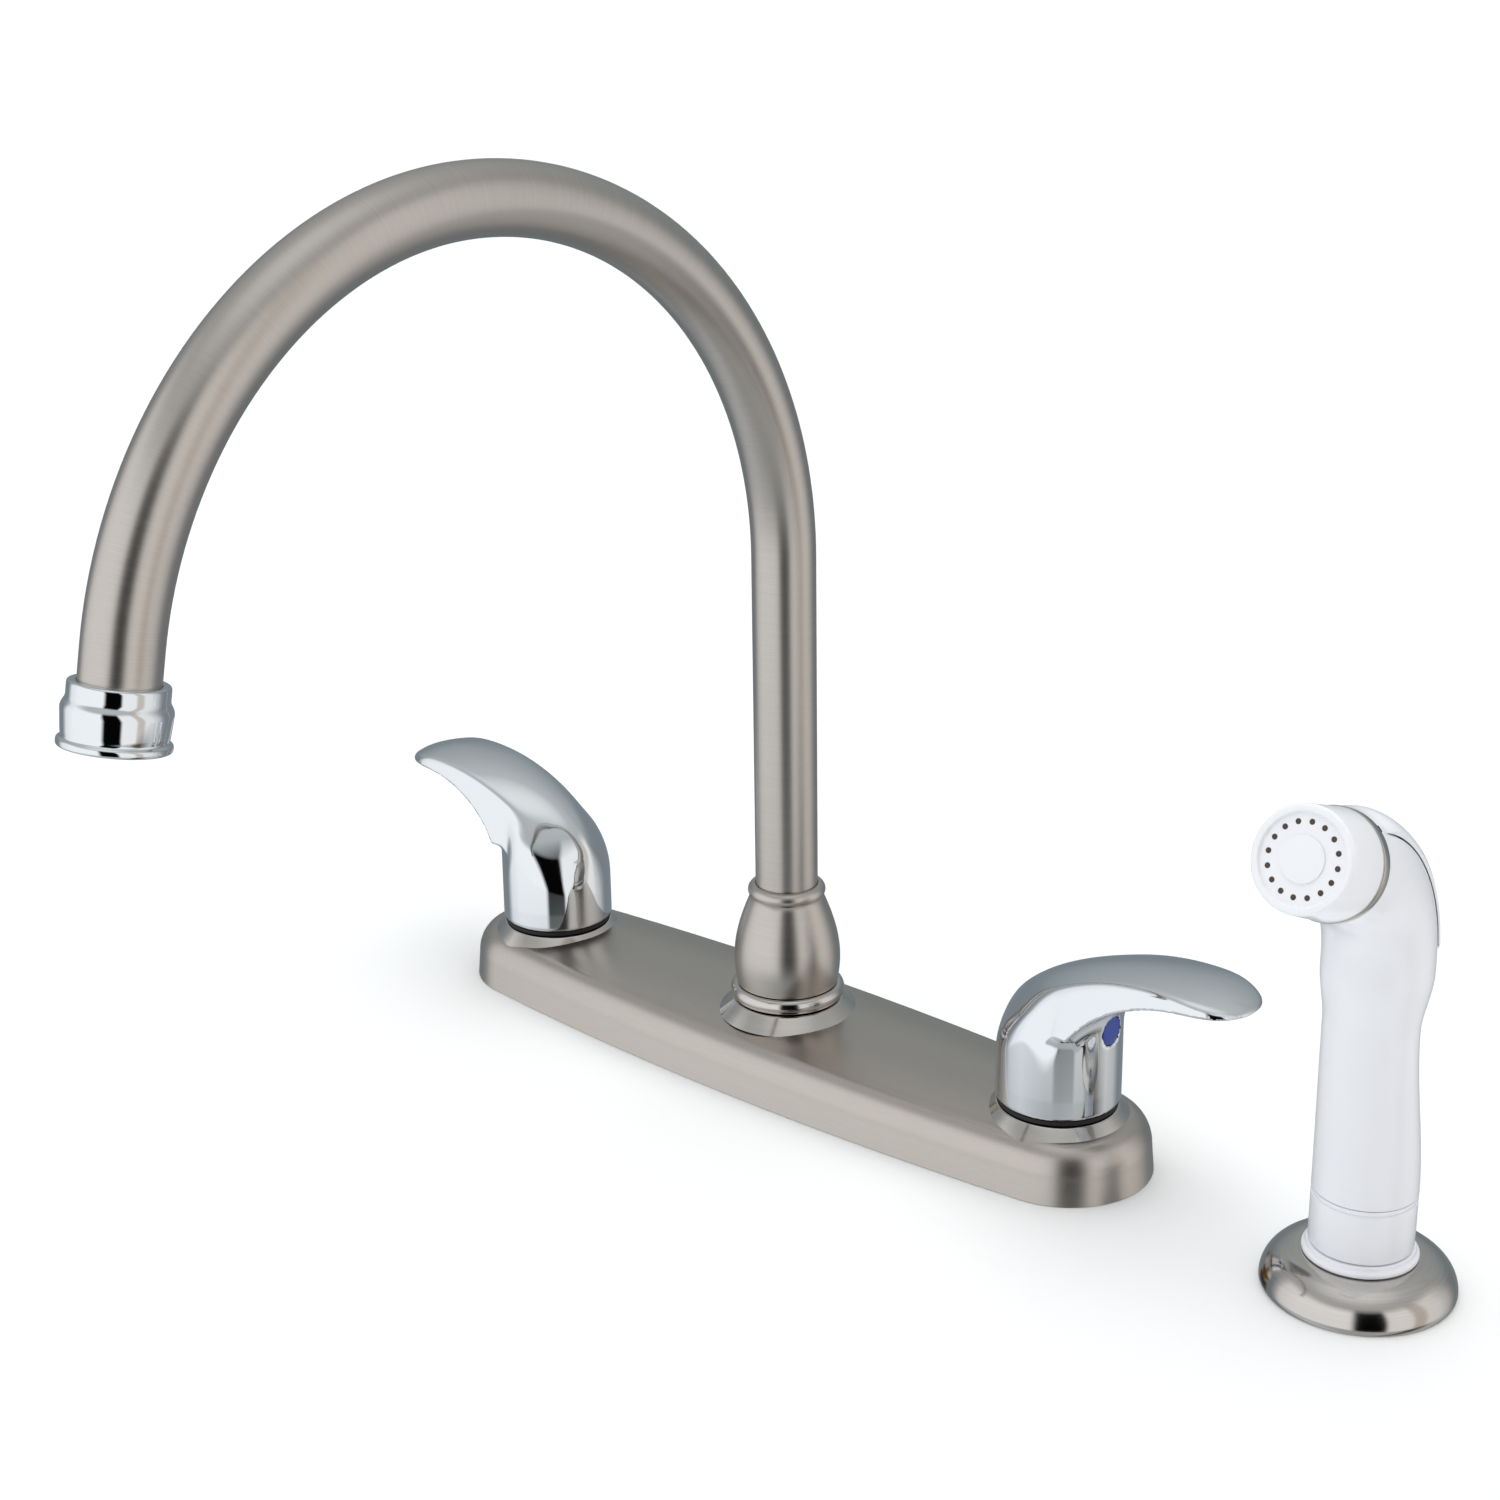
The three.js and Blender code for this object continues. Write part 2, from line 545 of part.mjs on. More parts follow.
// Crowned top and leaning flanks of the handle over its whole length, deep below.
function handleCap() {
  const stations = [];
  for (let i = 0; i <= 10; i++) stations.push(mix(-HANDLE_R - 1, leverTaper, (i / 10) ** 1.2));
  for (let i = 1; i <= 5; i++) stations.push(leverTaper + LEVER_TIP_ROUND * Math.sin(i / 5 * Math.PI / 2));
  const deep = -5;
  return loft(stations.map((s) => {
    const [top, crease, width] = [topLine(s), creaseLine(s), halfWidth(s)];
    const lean = FLANK_LEAN + FLANK_HEEL_LEAN * smooth((5 - s) / 15);
    const skirt = width + lean * (crease - deep);
    const crown = [];
    for (let i = 0; i <= 6; i++) {
      const u = mix(1, -1, i / 6);
      crown.push(V(s, width * u, crease + (top - crease) * (1 - u * u)));
    }
    return [V(s, -skirt, deep), V(s, skirt, deep), ...crown];
  }));
}

const overTop = LEVER_CREST + 5; // clear of the crest

// Room above the underside line, so that only the lever is left outside the turned body.
function overLever() {
  const line = [];
  for (let i = 0; i <= 11; i++) {
    const s = mix(UNDER_START, LEVER_TIP_REACH + 2, (i / 11) ** 1.3);
    line.push([s, underLine(s)]);
  }
  const shape = polygon([[UNDER_START, overTop], ...line, [LEVER_TIP_REACH + 2, overTop]]);
  const deep = 3 * LEVER_HALF_WIDTH;
  return moved(tipped(prism(shape, 0, 2 * deep), 90), 0, deep, 0);
}

// Lays a piece on Z along the lever's direction, at the height of the index button.
const outwards = (body) => moved(spun(tipped(body, 90), 90), 0, 0, INDEX_HEIGHT);
const indexSeat = HANDLE_R - INDEX_DEPTH;

function leverHandle() {
  const body = turned([[0, 0], [HANDLE_R - HANDLE_FOOT_CHAMFER, 0], [HANDLE_R, HANDLE_FOOT_CHAMFER],
    [HANDLE_R, HANDLE_STRAIGHT], [HANDLE_R - HANDLE_TAPER, overTop], [0, overTop]], HANDLE_SIDES);
  const outside = handleCap().intersect(union(body, overLever()));
  const bossFoot = cartridgeTop + 2 * GAP - handleFoot;
  const boss = rod(HANDLE_BOSS_R, bossFoot, HANDLE_CAVITY + 1, FINE);
  const hollow = cut(rod(cavityR, -1, HANDLE_CAVITY, HIDDEN), boss);
  const grubBore = outwards(rod(GRUB_R + RUN, 0, HANDLE_R, FINE));
  const indexBore = outwards(rod(INDEX_R + RUN, indexSeat, HANDLE_R + 3, FINE));
  return cut(outside, hollow, moved(stem(RUN), 0, 0, -handleFoot), grubBore, indexBore);
}

function grubScrew() {
  const start = STEM_R - STEM_FLAT + 2 * RUN + GAP;
  return outwards(rod(GRUB_R, start, start + GRUB_LENGTH, FINE));
}
function indexButton() {
  const rim = HANDLE_R - INDEX_SUNK;
  return outwards(turned([[0, indexSeat + GAP], [INDEX_R, indexSeat + GAP], [INDEX_R, rim],
    [INDEX_R * 0.7, rim + INDEX_DOME * 0.6], [0, rim + INDEX_DOME]], FINE));
}
function handleGasket() {
  return sleeve(cavityR - GAP, HANDLE_R - GASKET_INSET, handleSeat + GAP, handleSeat + GAP + GASKET_THICK);
}

for (const { side, x, outward, index } of HANDLES) {
  const seated = (body) => moved(spun(body, outward), x, 0, handleFoot);
  add(`valve_cartridge_${side}`, moved(cartridge(), x, 0, 0), BRASS);
  add(`bonnet_nut_${side}`, moved(bonnetNut(), x, 0, 0), BRASS);
  add(`handle_gasket_${side}`, moved(handleGasket(), x, 0, 0), RUBBER);
  add(`valve_stem_${side}`, moved(stem(), x, 0, 0), BRASS);
  add(`handle_${side}`, seated(leverHandle()), CHROME);
  add(`grub_screw_${side}`, seated(grubScrew()), STEEL);
  add(`index_button_${side}`, seated(indexButton()), index);
}

// ---------------------------------------------------------------- spout
const hubTop = spoutSeat + HUB_HEIGHT;
const tubeFoot = spoutSeat + TUBE_ENTRY;
const ringFoot = spoutSeat + GAP;
const bellFoot = ringFoot + RING_HEIGHT + GAP;
const bellTop = bellFoot + BELL_HEIGHT;

// Centreline of the tube: riser, elliptical rear quarter, circular front arc. The angle is the
// turn of the section's outward side about X.
function spoutPath() {
  const path = [tubeFoot, (tubeFoot + RISER_TOP) / 2].map((z) => ({ point: V(0, 0, z), angle: 0 }));
  for (let i = 0; i <= ARCH_STEPS; i++) {
    const t = i / ARCH_STEPS * Math.PI / 2;
    path.push({ point: V(0, ARCH_REAR_REACH * (Math.cos(t) - 1), RISER_TOP + ARCH_RISE * Math.sin(t)),
      angle: Math.atan2(ARCH_REAR_REACH * Math.sin(t), ARCH_RISE * Math.cos(t)) });
  }
  for (let i = 1; i <= ARCH_STEPS - 2; i++) {
    const t = i / (ARCH_STEPS - 2) * rad(ARCH_FRONT_ANGLE);
    path.push({ point: V(0, -ARCH_REAR_REACH - ARCH_FRONT_R * Math.sin(t),
      RISER_TOP + ARCH_RISE - ARCH_FRONT_R * (1 - Math.cos(t))), angle: Math.PI / 2 + t });
  }
  return path;
}

// Frame on the spout's end: local -Z runs down the stream, the origin is the aerator's top edge.
const archEnd = spoutPath().at(-1);
const streamTilt = ARCH_FRONT_ANGLE - 90;
const streamDown = V(0, 0, -1).applyAxisAngle(V(1, 0, 0), rad(streamTilt));
function pastArch(length) {
  return { point: archEnd.point.clone().addScaledVector(streamDown, length), angle: archEnd.angle };
}
function atSpoutEnd(body) {
  const { x, y, z } = pastArch(TUBE_END).point;
  return moved(tipped(body, streamTilt), x, y, z);
}

function spoutTube() {
  const path = spoutPath();
  const tubeEnd = TUBE_END + AERATOR_GRIP;
  const outside = bentRod([...path, pastArch(tubeEnd)], TUBE_R, TUBE_SIDES);
  const below = { point: V(0, 0, tubeFoot - 1), angle: 0 };
  return cut(outside, bentRod([below, ...path, pastArch(tubeEnd + 1)], TUBE_R - TUBE_WALL, 8));
}

function spoutHub() {
  const grooves = [0, 1].map((i) => sleeve(TUBE_R, TUBE_R + 2 * ORING_SECTION + 3 * RUN,
    oringHeight(i) - ORING_SECTION - RUN, oringHeight(i) + ORING_SECTION + RUN, HIDDEN));
  const body = union(rod(HUB_R, WAY_HEIGHT + GAP, hubTop, HIDDEN),
    rod(HUB_SPIGOT_R, columnFloor + GAP, WAY_HEIGHT + 1, HIDDEN));
  return cut(body, rod(TUBE_R + GAP, tubeFoot - GAP, hubTop + 1, HIDDEN),
    rod(DIVERTER_BORE_R, columnFloor, tubeFoot, HIDDEN), ...grooves);
}
function oringHeight(i) {
  return tubeFoot + ORING_FIRST + i * ORING_STEP;
}
function oring(z) {
  const r = TUBE_R + 2 * RUN + ORING_SECTION;
  const section = Array.from({ length: 5 }, (_, i) => i * Math.PI * 2 / 5)
    .map((a) => [r + ORING_SECTION * Math.cos(a), z + ORING_SECTION * Math.sin(a)]);
  return turned(section, HIDDEN);
}

function diverter() {
  const foot = columnFloor + GAP;
  const top = foot + DIVERTER_HEIGHT;
  return turned([[0, foot], [DIVERTER_R, foot], [DIVERTER_R, top - DIVERTER_NOSE - 1],
    [DIVERTER_NOSE_R, top - DIVERTER_NOSE], [DIVERTER_NOSE_R, top], [0, top]], HIDDEN);
}

// Rounded foot ring of the spout, open round the hub.
function spoutRing() {
  const inner = HUB_R + 3 * GAP;
  const half = RING_HEIGHT / 2;
  const round = Array.from({ length: 7 }, (_, i) => {
    const a = mix(-80, 80, i / 6);
    return [RING_R - half * 0.8 * (1 - Math.cos(rad(a))), ringFoot + half + half * Math.sin(rad(a))];
  });
  return turned([[inner, ringFoot], ...round, [inner, ringFoot + RING_HEIGHT]]);
}

// Bell between the foot ring and the bead that grips the tube.
function spoutBell() {
  const outer = [];
  for (let i = 0; i <= 2; i++) {
    const t = i / 2;
    outer.push([mix(BELL_FOOT_R, BELL_BULGE_R, Math.sin(t * Math.PI / 2)), bellFoot + BELL_BULGE_HEIGHT * t]);
  }
  for (let i = 1; i <= 4; i++) {
    const t = i / 4;
    const closing = 1 - Math.cos(t * Math.PI / 2) ** 0.95;
    outer.push([mix(BELL_BULGE_R, BELL_NECK_R, closing), bellFoot + mix(BELL_BULGE_HEIGHT, BELL_HEIGHT, t)]);
  }
  const beadZ = bellTop + BEAD_R;
  const beadR = BELL_NECK_R + BEAD_OUT - BEAD_R;
  for (let i = 0; i <= 4; i++) {
    const a = rad(mix(-55, 90, i / 4));
    outer.push([beadR + BEAD_R * Math.cos(a), beadZ + BEAD_R * Math.sin(a)]);
  }
  const collarFoot = hubTop + GAP + 1;
  return turned([...outer, [TUBE_R + RUN, beadZ + BEAD_R], [TUBE_R + RUN, collarFoot + 3],
    [HUB_R + 2 * GAP, collarFoot], [HUB_R + 2 * GAP, bellFoot]]);
}

add('spout_hub', spoutHub(), BRASS);
add('spray_diverter', diverter(), GREY_PLASTIC);
add('spout_oring_lower', oring(oringHeight(0)), RUBBER);
add('spout_oring_upper', oring(oringHeight(1)), RUBBER);
add('spout_ring', spoutRing(), NICKEL);
add('spout_bell', spoutBell(), NICKEL);
add('spout_tube', spoutTube(), NICKEL);

// ---------------------------------------------------------------- aerator
const aeratorBore = AERATOR_COLLAR_R - AERATOR_WALL;
const insideTop = -AERATOR_GRIP - 2 * GAP; // top of the washer in the shell

function aeratorShell() {
  const [floor, shelf] = [-AERATOR_LENGTH, -AERATOR_GRIP - GAP];
  const bore = TUBE_R + RUN;
  const lipTop = floor + AERATOR_LIP_HEIGHT;
  return turned([[bore, 0], [AERATOR_COLLAR_R - AERATOR_EDGE, 0], [AERATOR_COLLAR_R, -AERATOR_EDGE],
    [AERATOR_COLLAR_R, -AERATOR_COLLAR_FOOT], [AERATOR_BODY_R, -AERATOR_BODY_TOP],
    [AERATOR_BODY_FOOT_R, lipTop + AERATOR_GROOVE], [AERATOR_GROOVE_R, lipTop + AERATOR_GROOVE * 0.35],
    [AERATOR_LIP_R, lipTop], [AERATOR_LIP_R, floor + AERATOR_EDGE],
    [AERATOR_LIP_R - AERATOR_EDGE, floor], [AERATOR_MOUTH_R, floor], [AERATOR_MOUTH_R, floor + AERATOR_LEDGE],
    [aeratorBore, floor + AERATOR_LEDGE], [aeratorBore, shelf], [bore, shelf]]);
}
// Flow straightener: a cup whose floor is a grid of crossed bars.
function aeratorScreen() {
  const outer = aeratorBore - GAP;
  const foot = -AERATOR_LENGTH + AERATOR_LEDGE + GAP;
  const top = insideTop - AERATOR_WASHER - GAP;
  let grid = sleeve(outer - SCREEN_WALL, outer, foot, top, FINE);
  for (let i = 0; i < SCREEN_BARS; i++) {
    const at = (i - (SCREEN_BARS - 1) / 2) * SCREEN_PITCH;
    const reach = Math.sqrt((outer - SCREEN_WALL / 2) ** 2 - at ** 2);
    const bar = moved(slab(SCREEN_BAR / 2, reach, foot, foot + SCREEN_DEPTH), at, 0, 0);
    grid = union(grid, bar, spun(bar, 90));
  }
  return grid;
}
function aeratorWasher() {
  return sleeve(WASHER_BORE_R, aeratorBore - GAP, insideTop - AERATOR_WASHER, insideTop, HIDDEN);
}

add('aerator_shell', atSpoutEnd(aeratorShell()), CHROME);
add('aerator_washer', atSpoutEnd(aeratorWasher()), RUBBER);
add('aerator_screen', atSpoutEnd(aeratorScreen()), GREY_PLASTIC);

// ---------------------------------------------------------------- spray holder
const sprayX = 2 * HOLE_PITCH + SPRAY_SHIFT_X;
const sprayY = SPRAY_SHIFT_Y;
const atSpray = (body) => moved(body, sprayX, sprayY, 0);

const holderLipR = HOLDER_TUBE_R + HOLDER_LIP;
const holderLipFoot = FLANGE_HEIGHT + GAP;

// Low dome that runs up to a level rim under the holder's lip.
function sprayFlange() {
  const [bore, crest] = [HOLDER_TUBE_R + FLANGE_PLAY, holderLipR + FLANGE_REVEAL];
  const outer = Array.from({ length: 6 }, (_, i) => {
    const a = i / 5 * Math.PI / 2;
    return [mix(crest, FLANGE_R, Math.cos(a)), mix(FLANGE_BELT, FLANGE_HEIGHT, Math.sin(a))];
  });
  return turned([[bore, 0], [FLANGE_R - FLANGE_EDGE, 0], ...outer, [bore, FLANGE_HEIGHT]], FLANGE_SIDES);
}

function sprayHolder() {
  return turned([[HOLDER_BORE_R, -HOLDER_LENGTH], [HOLDER_TUBE_R, -HOLDER_LENGTH],
    [HOLDER_TUBE_R, holderLipFoot], [holderLipR, holderLipFoot], [holderLipR, holderLipFoot + HOLDER_LIP_EDGE],
    [holderLipR - HOLDER_LIP_EDGE, HOLDER_HEIGHT - HOLDER_LIP_EDGE], [holderLipR - 1, HOLDER_HEIGHT],
    [HOLDER_BORE_R, HOLDER_HEIGHT]]);
}

function holderNut() {
  const foot = nutTop - HOLDER_NUT_HEIGHT;
  return cut(hexPrism(HOLDER_NUT_HEX, foot, nutTop), rod(HOLDER_TUBE_R + GAP, foot - 1, nutTop + 1));
}

add('spray_flange', atSpray(sprayFlange()), NICKEL);
add('spray_holder', atSpray(sprayHolder()), WHITE);
add('spray_holder_washer', atSpray(washer(HOLDER_WASHER_R, HOLDER_TUBE_R + GAP)), GREY_PLASTIC);
add('spray_holder_nut', atSpray(holderNut()), GREY_PLASTIC);

// ---------------------------------------------------------------- spray wand
// Local frame: Z up the wand's axis, the head towards -Y.
const sleeveFoot = HOLDER_HEIGHT + GAP;
const bandFoot = sleeveFoot + SLEEVE_HEIGHT;
const gripFoot = bandFoot + SLEEVE_SEAM;
const elbowTurn = 90 - HEAD_TILT;
const elbowY = SHOULDER_SHIFT - ELBOW_R;

// Point on the wand's spine: height on the grip, then degrees round the elbow, then along the head.
function onElbow(turn, out = 0) {
  const a = rad(turn);
  return V(0, elbowY + (ELBOW_R + out) * Math.cos(a), ELBOW_START + (ELBOW_R + out) * Math.sin(a));
}
const headAxis = V(0, -Math.sin(rad(elbowTurn)), Math.cos(rad(elbowTurn)));
const ringSeat = onElbow(elbowTurn).addScaledVector(headAxis, HEAD_STRAIGHT);
const headUp = V(0, Math.cos(rad(elbowTurn)), Math.sin(rad(elbowTurn)));
const atHead = (body) => moved(tipped(body, elbowTurn), 0, ringSeat.y, ringSeat.z);

function ellipse(centre, up, halfWidth, halfDepth, sides = 24) {
  return Array.from({ length: sides }, (_, i) => {
    const a = 2 * Math.PI * i / sides;
    return centre.clone().add(V(halfWidth * Math.sin(a), 0, 0)).addScaledVector(up, halfDepth * Math.cos(a));
  });
}

// Grip's centre shift, half width and half depth over its height.
function gripSize(z) {
  const foot = [0, WAND_R, WAND_R];
  const waist = [WAIST_SHIFT, WAIST_HALF_WIDTH, WAIST_HALF_DEPTH];
  const shoulder = [SHOULDER_SHIFT, SHOULDER_HALF_WIDTH, SHOULDER_HALF_DEPTH];
  const [from, to, t] = z < WAIST_HEIGHT ? [foot, waist, (z - gripFoot) / (WAIST_HEIGHT - gripFoot)]
    : [waist, shoulder, (z - WAIST_HEIGHT) / (SHOULDER_HEIGHT - WAIST_HEIGHT)];
  return from.map((value, i) => mix(value, to[i], smooth(t)));
}

function wandOutside() {
  const rings = [];
  for (let i = 0; i <= 9; i++) {
    const z = mix(gripFoot, ELBOW_START, i / 9);
    const [shift, width, depth] = gripSize(z);
    rings.push(ellipse(V(0, shift, z), V(0, 1, 0), width, depth));
  }
  for (let i = 1; i <= 6; i++) {
    const t = i / 6;
    const a = rad(elbowTurn * t);
    const [width, depth] = [SHOULDER_HALF_WIDTH, SHOULDER_HALF_DEPTH].map((half) => mix(half, HEAD_R, t));
    rings.push(ellipse(onElbow(elbowTurn * t), V(0, Math.cos(a), Math.sin(a)), width, depth));
  }
  rings.push(ellipse(ringSeat, headUp, HEAD_R, HEAD_R));
  return loft(rings);
}

const headPoint = (ahead) => ringSeat.clone().addScaledVector(headAxis, ahead); // on the head's axis
const pivot = headPoint(-TRIGGER_PIVOT_BACK).addScaledVector(headUp, TRIGGER_PIVOT_OUT);
function onPivot(body) { // laid along X through the pivot
  return moved(spun(tipped(body, 90), 90), pivot.x, pivot.y, pivot.z);
}

// Bent bar that follows the wand's back from the pivot to its free end, between two offsets from
// the spine; the inner one may sink towards the free end, and the head's end may start ahead.
function backBar({ halfWidth, inner, outer, sink = 0, end, ahead = 0 }) {
  const stations = [{ at: headPoint(ahead - TRIGGER_PIVOT_BACK), up: headUp, t: 0 }];
  for (let i = 0; i <= 7; i++) {
    const a = elbowTurn * (1 - i / 7);
    stations.push({ at: onElbow(a), up: V(0, Math.cos(rad(a)), Math.sin(rad(a))), t: mix(0.1, 0.9, i / 7) });
  }
  stations.push({ at: V(0, SHOULDER_SHIFT, end), up: V(0, 1, 0), t: 1 });
  return loft(stations.map(({ at, up, t }) => {
    const low = inner - sink * t;
    const high = outer + mix(0, SHOULDER_HALF_DEPTH - HEAD_R, t);
    const edge = high - TRIGGER_EDGE;
    const section = [[-1, low], [-1, edge], [-0.55, high], [0.55, high], [1, edge], [1, low]];
    return section.map(([x, out]) => at.clone().add(V(x * halfWidth, 0, 0)).addScaledVector(up, out));
  }));
}

const triggerOut = HEAD_R + TRIGGER_PROUD;
const triggerIn = triggerOut - TRIGGER_THICK;
function trigger() {
  const bar = backBar({ halfWidth: TRIGGER_HALF_WIDTH, inner: triggerIn, outer: triggerOut, end: TRIGGER_END });
  const hub = onPivot(rod(TRIGGER_HUB_R, -TRIGGER_HUB_HALF, TRIGGER_HUB_HALF, FINE));
  return cut(union(bar, hub), onPivot(rod(TRIGGER_PIN_R + RUN, -WAND_R, WAND_R, FINE)));
}

// Room in the wand for the trigger, its hub and its travel.
function triggerPocket() {
  const room = backBar({ halfWidth: TRIGGER_HALF_WIDTH + GAP, inner: triggerIn - GAP, outer: triggerOut + 6,
    sink: TRIGGER_TRAVEL, end: TRIGGER_END - TRIGGER_END_ROOM, ahead: GAP });
  const hubHalf = TRIGGER_HUB_HALF + GAP;
  return union(room, onPivot(rod(TRIGGER_HUB_R + GAP, -hubHalf, hubHalf, FINE)));
}

// Push rod of the spray valve, under the trigger, square to the wand's spine.
function plungerRod(r, from, to) {
  const seat = onElbow(PLUNGER_ANGLE);
  return moved(tipped(rod(r, from, to, FINE), PLUNGER_ANGLE - 90), seat.x, seat.y, seat.z);
}
const plungerTop = triggerIn - GAP;

function wandBody() {
  const pinBore = onPivot(rod(TRIGGER_PIN_R + RUN, -TRIGGER_PIN_HALF - RUN, TRIGGER_PIN_HALF + RUN, FINE));
  const plungerBore = plungerRod(PLUNGER_R + GAP, plungerTop - PLUNGER_LENGTH - PLUNGER_ROOM, plungerTop + 4);
  return cut(wandOutside(), triggerPocket(), pinBore, plungerBore);
}

function wandSleeve() {
  const noseFoot = sleeveFoot - NOSE_LENGTH;
  return turned([[0, noseFoot], [NOSE_R - 1, noseFoot], [NOSE_R, noseFoot + 2], [NOSE_R, sleeveFoot],
    [WAND_R - SLEEVE_EDGE, sleeveFoot], [WAND_R, sleeveFoot + SLEEVE_EDGE], [WAND_R, bandFoot - SEAM_GROOVE],
    [WAND_R - SEAM_GROOVE, bandFoot], [WAND_R, bandFoot + SEAM_GROOVE], [WAND_R, gripFoot - GAP],
    [0, gripFoot - GAP]]);
}

function hoseSocket() {
  const top = sleeveFoot - NOSE_LENGTH - GAP;
  const foot = top - SOCKET_LENGTH;
  return cut(hexPrism(SOCKET_HEX, foot, top), rod(SOCKET_BORE_R, foot - 1, top - 2, FINE));
}

// Spray head, in the frame of its axis with the metal ring's seat at z = 0.
const capFoot = GAP + HEAD_RING_WIDTH + GAP;
const capTop = capFoot + HEAD_CAP_LENGTH;
const facePlane = capTop - FACE_DISH; // level the nozzles open on
function headRing() {
  const [r, edge, foot, top] = [HEAD_RING_R, HEAD_RING_EDGE, GAP, GAP + HEAD_RING_WIDTH];
  return turned([[0, foot], [r - edge, foot], [r, foot + edge], [r, top - edge], [r - edge, top], [0, top]]);
}
function sprayFace() {
  const face = turned([[0, capFoot], [HEAD_CAP_R, capFoot], [HEAD_CAP_FRONT_R, capTop - HEAD_CAP_ROUND],
    [HEAD_CAP_FRONT_R - HEAD_CAP_ROUND * 0.3, capTop - HEAD_CAP_ROUND * 0.3],
    [HEAD_CAP_FRONT_R - HEAD_CAP_ROUND, capTop],
    [HEAD_CAP_FRONT_R - HEAD_CAP_ROUND - FACE_DISH_SLOPE, facePlane], [0, facePlane]]);
  const nozzle = rod(NOZZLE_R, facePlane - NOZZLE_DEPTH, capTop, 6);
  const holes = Array.from({ length: NOZZLE_COUNT }, (_, i) => {
    const a = 2 * Math.PI * i / NOZZLE_COUNT;
    return moved(nozzle, NOZZLE_CIRCLE_R * Math.cos(a), NOZZLE_CIRCLE_R * Math.sin(a), 0);
  });
  return cut(face, rod(DISC_R + GAP, facePlane - DISC_SEAT - GAP, capTop), ...holes);
}
function faceDisc() {
  return turned([[0, facePlane - DISC_SEAT], [DISC_R, facePlane - DISC_SEAT],
    [DISC_R, facePlane + DISC_RISE * 0.4], [DISC_R - 0.6, facePlane + DISC_RISE * 0.9],
    [0, facePlane + DISC_RISE]]);
}

const wandPieces = {
  wand_sleeve: [wandSleeve(), WHITE],
  wand_hose_socket: [hoseSocket(), BRASS],
  wand_body: [wandBody(), WHITE],
  spray_head_ring: [atHead(headRing()), NICKEL],
  spray_face: [atHead(sprayFace()), WHITE],
  spray_face_disc: [atHead(faceDisc()), WHITE],
  spray_trigger: [trigger(), WHITE],
  trigger_pin: [onPivot(rod(TRIGGER_PIN_R, -TRIGGER_PIN_HALF, TRIGGER_PIN_HALF, FINE)), STEEL],
  spray_plunger: [plungerRod(PLUNGER_R, plungerTop - PLUNGER_LENGTH, plungerTop), GREY_PLASTIC],
};
for (const [name, [body, material]] of Object.entries(wandPieces)) add(name, atSpray(body), material);

export default faucet;
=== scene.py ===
import json
import math

import bpy
import numpy as np
from mathutils import Matrix, Vector


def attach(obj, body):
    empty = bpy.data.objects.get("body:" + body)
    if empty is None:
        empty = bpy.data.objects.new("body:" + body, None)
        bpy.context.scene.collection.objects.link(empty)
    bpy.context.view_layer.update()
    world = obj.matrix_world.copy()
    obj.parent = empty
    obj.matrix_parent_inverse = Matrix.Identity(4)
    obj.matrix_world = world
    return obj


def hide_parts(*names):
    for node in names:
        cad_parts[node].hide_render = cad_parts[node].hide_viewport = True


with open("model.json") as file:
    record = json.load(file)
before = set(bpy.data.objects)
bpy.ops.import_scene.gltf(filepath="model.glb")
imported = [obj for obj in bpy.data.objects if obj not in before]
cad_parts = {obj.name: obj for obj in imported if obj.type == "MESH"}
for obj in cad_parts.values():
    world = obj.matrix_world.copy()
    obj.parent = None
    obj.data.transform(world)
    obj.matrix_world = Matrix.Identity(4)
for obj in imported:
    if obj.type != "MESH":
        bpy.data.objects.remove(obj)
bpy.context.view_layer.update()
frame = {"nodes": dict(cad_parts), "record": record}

# ---------------------------------------------------------------- photographer's place, light and worktop
# A small studio: the faucet stands on a white worktop between two large softboxes, with a dark gap
# beside the camera, a dark stand on the right and a grey wall behind. Polished metal shows them all.
MM = 0.001
CAMERA_AT = (463.8, -537.5, 359.5)  # mm from the centre of the deck plate
CAMERA_YAW, CAMERA_PITCH, CAMERA_ROLL = 41.65, 19.90, -0.82  # degrees, looking down to the back left
CAMERA_LENS, CAMERA_SENSOR = 60.35, 36.0

yaw, pitch, roll = map(math.radians, (CAMERA_YAW, CAMERA_PITCH, CAMERA_ROLL))
back = Vector((math.sin(yaw) * math.cos(pitch), -math.cos(yaw) * math.cos(pitch), math.sin(pitch)))
level_right = Vector((math.cos(yaw), math.sin(yaw), 0))
level_up = back.cross(level_right)
right = level_right * math.cos(roll) + level_up * math.sin(roll)
camera = bpy.data.objects.new("camera", bpy.data.cameras.new("camera"))
camera.data.lens, camera.data.sensor_width = CAMERA_LENS, CAMERA_SENSOR
facing = Matrix((right, back.cross(right), back)).transposed().to_4x4()
camera.matrix_world = Matrix.Translation(Vector(CAMERA_AT) * MM) @ facing
bpy.context.scene.collection.objects.link(camera)
bpy.context.scene.camera = camera
bpy.context.scene.view_settings.view_transform = "Standard"


def add_node(tree, kind, inputs=None, **settings):
    """Adds a node, sets its settings and links or sets its inputs."""
    node = tree.nodes.new(kind)
    for name, value in settings.items():
        setattr(node, name, value)
    for name, value in (inputs or {}).items():
        if isinstance(value, bpy.types.NodeSocket):
            tree.links.new(value, node.inputs[name])
        else:
            node.inputs[name].default_value = value
    return node


def linear(colour):
    """sRGB hex to the linear colour that the shaders use."""
    parts = [((colour >> shift) & 255) / 255 for shift in (16, 8, 0)]
    return tuple(p / 12.92 if p <= 0.04045 else ((p + 0.055) / 1.055) ** 2.4 for p in parts) + (1.0,)


def set_ramp(node, stops):
    """Colour ramp from (place, hex colour) stops."""
    elements = node.color_ramp.elements
    for element, (place, colour) in zip(list(elements), stops):
        element.position, element.color = place, linear(colour)
    for place, colour in stops[2:]:
        elements.new(place).color = linear(colour)


